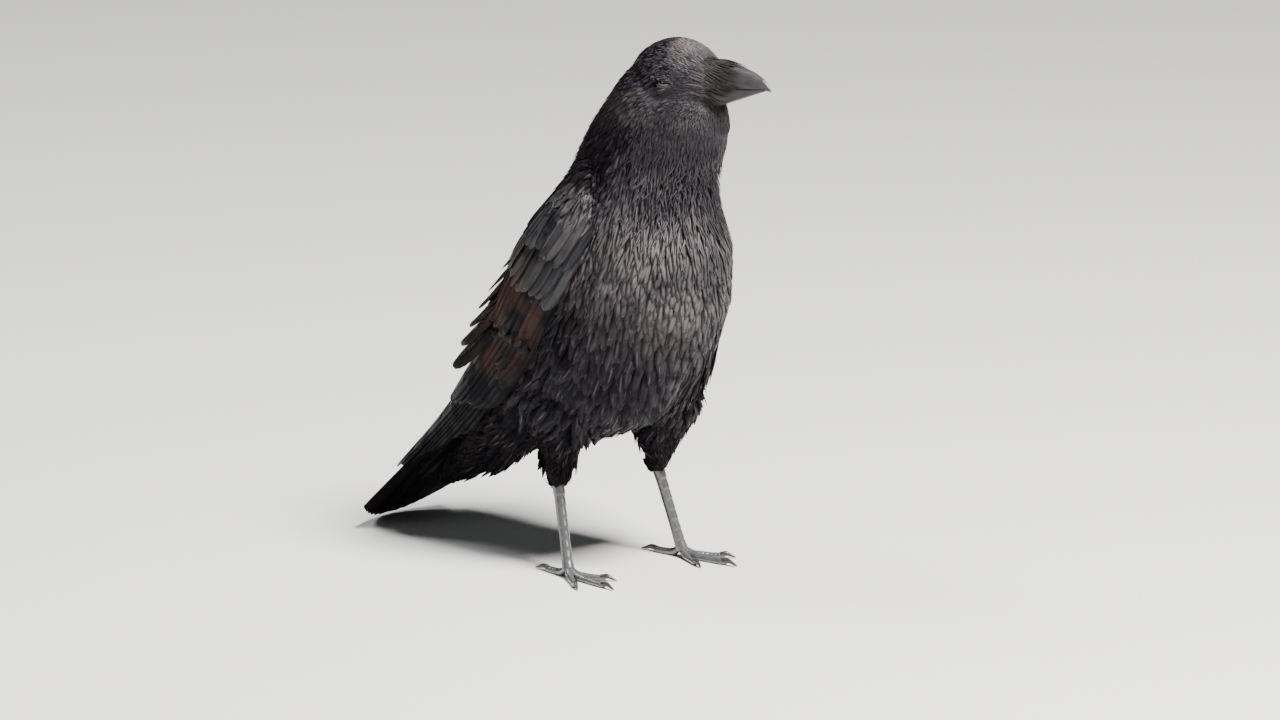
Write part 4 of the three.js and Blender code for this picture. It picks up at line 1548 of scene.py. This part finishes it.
class CROW_OT_eyes(bpy.types.Operator):
    """The eyes and their narrowed lids"""

    bl_idname = "crow.eyes"
    bl_label = "Eyes"

    def execute(self, context):
        bare = bare_of(context)
        wet, soft = eye_finish("eye", bare.iris), lid_finish("lids", bare.lid)
        for side_name, side in SIDES:
            settle(eyeball(side, f"eyeball_{side_name}"), [f"eye_{side_name}"], wet)
            settle(lids(side, f"lids_{side_name}"), (), soft)
        return {"FINISHED"}


class CROW_OT_legs(bpy.types.Operator):
    """The scaled shanks, the toes and the claws"""

    bl_idname = "crow.legs"
    bl_label = "Legs and feet"

    def execute(self, context):
        bare = bare_of(context)
        scutes, horn = scute_finish("leg scutes", bare.scute), horn_finish("claw horn", bare.horn, 0.3)
        for side_name, _ in SIDES:
            leg = LEGS[side_name]
            settle(shank(leg, f"scaled_shank_{side_name}"), [f"shank_{side_name}"], scutes)
            toes = [toe(leg, b, n, r, f"digit_{side_name}_{t}") for t, b, n, r, c in TOES]
            toe_nodes = [f"toe_{side_name}_{t[0]}" for t in TOES]
            settle(joined(f"toes_{side_name}", toes), toe_nodes, scutes)
            claws = [claw(leg, b, n, c, f"nail_{side_name}_{t}") for t, b, n, r, c in TOES]
            claw_nodes = [f"claw_{side_name}_{t[0]}" for t in TOES]
            settle(joined(f"claws_{side_name}", claws), claw_nodes, horn)
        return {"FINISHED"}


def area_light(name, place, aim, size, power, colour):
    bpy.ops.object.select_all(action="DESELECT")
    bpy.ops.object.light_add(type="AREA", location=place)
    lamp = bpy.context.object
    lamp.name = name
    lamp.data.size, lamp.data.energy, lamp.data.color = size, power, colour
    lamp.rotation_mode = "QUATERNION"
    lamp.rotation_quaternion = (Vector(aim) - Vector(place)).to_track_quat("-Z", "Y")


class CROW_OT_stage(bpy.types.Operator):
    """A pale floor, soft lights and the camera"""

    bl_idname = "crow.stage"
    bl_label = "Stage"

    def execute(self, context):
        stage = context.scene.crow_stage
        bpy.ops.object.select_all(action="DESELECT")
        bpy.ops.mesh.primitive_plane_add(size=14)
        floor = bpy.context.object
        floor.name = "floor"
        floor.data.materials.append(floor_finish("pale floor", stage.floor))
        world = bpy.data.worlds.new("soft room")
        context.scene.world = world
        world.use_nodes = True
        background = world.node_tree.nodes["Background"]
        background.inputs["Color"].default_value = (0.93, 0.96, 1.0, 1.0)
        background.inputs["Strength"].default_value = 0.08
        aim = at(0.00418, 0.00464, 0.13431)
        turn, rise = stage.azimuth, stage.elevation
        back = Vector((math.sin(turn) * math.cos(rise), -math.cos(turn) * math.cos(rise), math.sin(rise)))
        left = Vector((-math.cos(turn), -math.sin(turn), 0))
        up = Vector((0, 0, 1))
        key = aim + back * 1.1 - left * 1.0 + up * 1.9
        area_light("key light", key, aim, 0.8, stage.key, (1.0, 0.98, 0.95))
        fill = aim + back * 1.6 + left * 1.7 + up * 0.8
        area_light("fill light", fill, aim, 1.5, stage.key * 0.02, (0.95, 0.97, 1.0))
        rim = aim - back * 0.6 + left * 1.3 + up * 2.0
        area_light("top light", rim, aim, 0.9, stage.key * 0.09, (0.96, 0.98, 1.0))
        lens = bpy.data.cameras.new("camera")
        camera = bpy.data.objects.new("camera", lens)
        context.scene.collection.objects.link(camera)
        lens.lens, lens.sensor_width = stage.lens, 36.0
        lens.clip_start, lens.clip_end = 0.05, 60
        camera.location = aim + back * stage.distance
        camera.rotation_mode = "QUATERNION"
        camera.rotation_quaternion = (-back).to_track_quat("-Z", "Y")
        context.scene.camera = camera
        return {"FINISHED"}


class CROW_PT_panel(bpy.types.Panel):
    """The crow's pieces and measures"""

    bl_label = "Crow"
    bl_idname = "CROW_PT_panel"
    bl_space_type = "VIEW_3D"
    bl_region_type = "UI"
    bl_category = "Crow"

    def draw(self, context):
        layout = self.layout
        for group in (context.scene.crow_plumage, context.scene.crow_bare_parts, context.scene.crow_stage):
            box = layout.box()
            for key in group.bl_rna.properties.keys():
                if key not in ("rna_type", "name"):
                    box.prop(group, key)
        for operator in OPERATORS:
            layout.operator(operator.bl_idname)


OPERATORS = (
    CROW_OT_skin, CROW_OT_small_feathers, CROW_OT_wings, CROW_OT_tail, CROW_OT_bill, CROW_OT_eyes,
    CROW_OT_legs, CROW_OT_stage,
)
CLASSES = (CrowPlumage, CrowBareParts, CrowStage, *OPERATORS, CROW_PT_panel)


def register():
    for c in CLASSES:
        bpy.utils.register_class(c)
    bpy.types.Scene.crow_plumage = PointerProperty(type=CrowPlumage)
    bpy.types.Scene.crow_bare_parts = PointerProperty(type=CrowBareParts)
    bpy.types.Scene.crow_stage = PointerProperty(type=CrowStage)


def unregister():
    del bpy.types.Scene.crow_stage
    del bpy.types.Scene.crow_bare_parts
    del bpy.types.Scene.crow_plumage
    for c in reversed(CLASSES):
        bpy.utils.unregister_class(c)


def main():
    register()
    bpy.ops.crow.skin()
    bpy.ops.crow.small_feathers()
    bpy.ops.crow.wings()
    bpy.ops.crow.tail()
    bpy.ops.crow.bill()
    bpy.ops.crow.eyes()
    bpy.ops.crow.legs()
    bpy.ops.crow.stage()


if __name__ == "__main__":
    main()
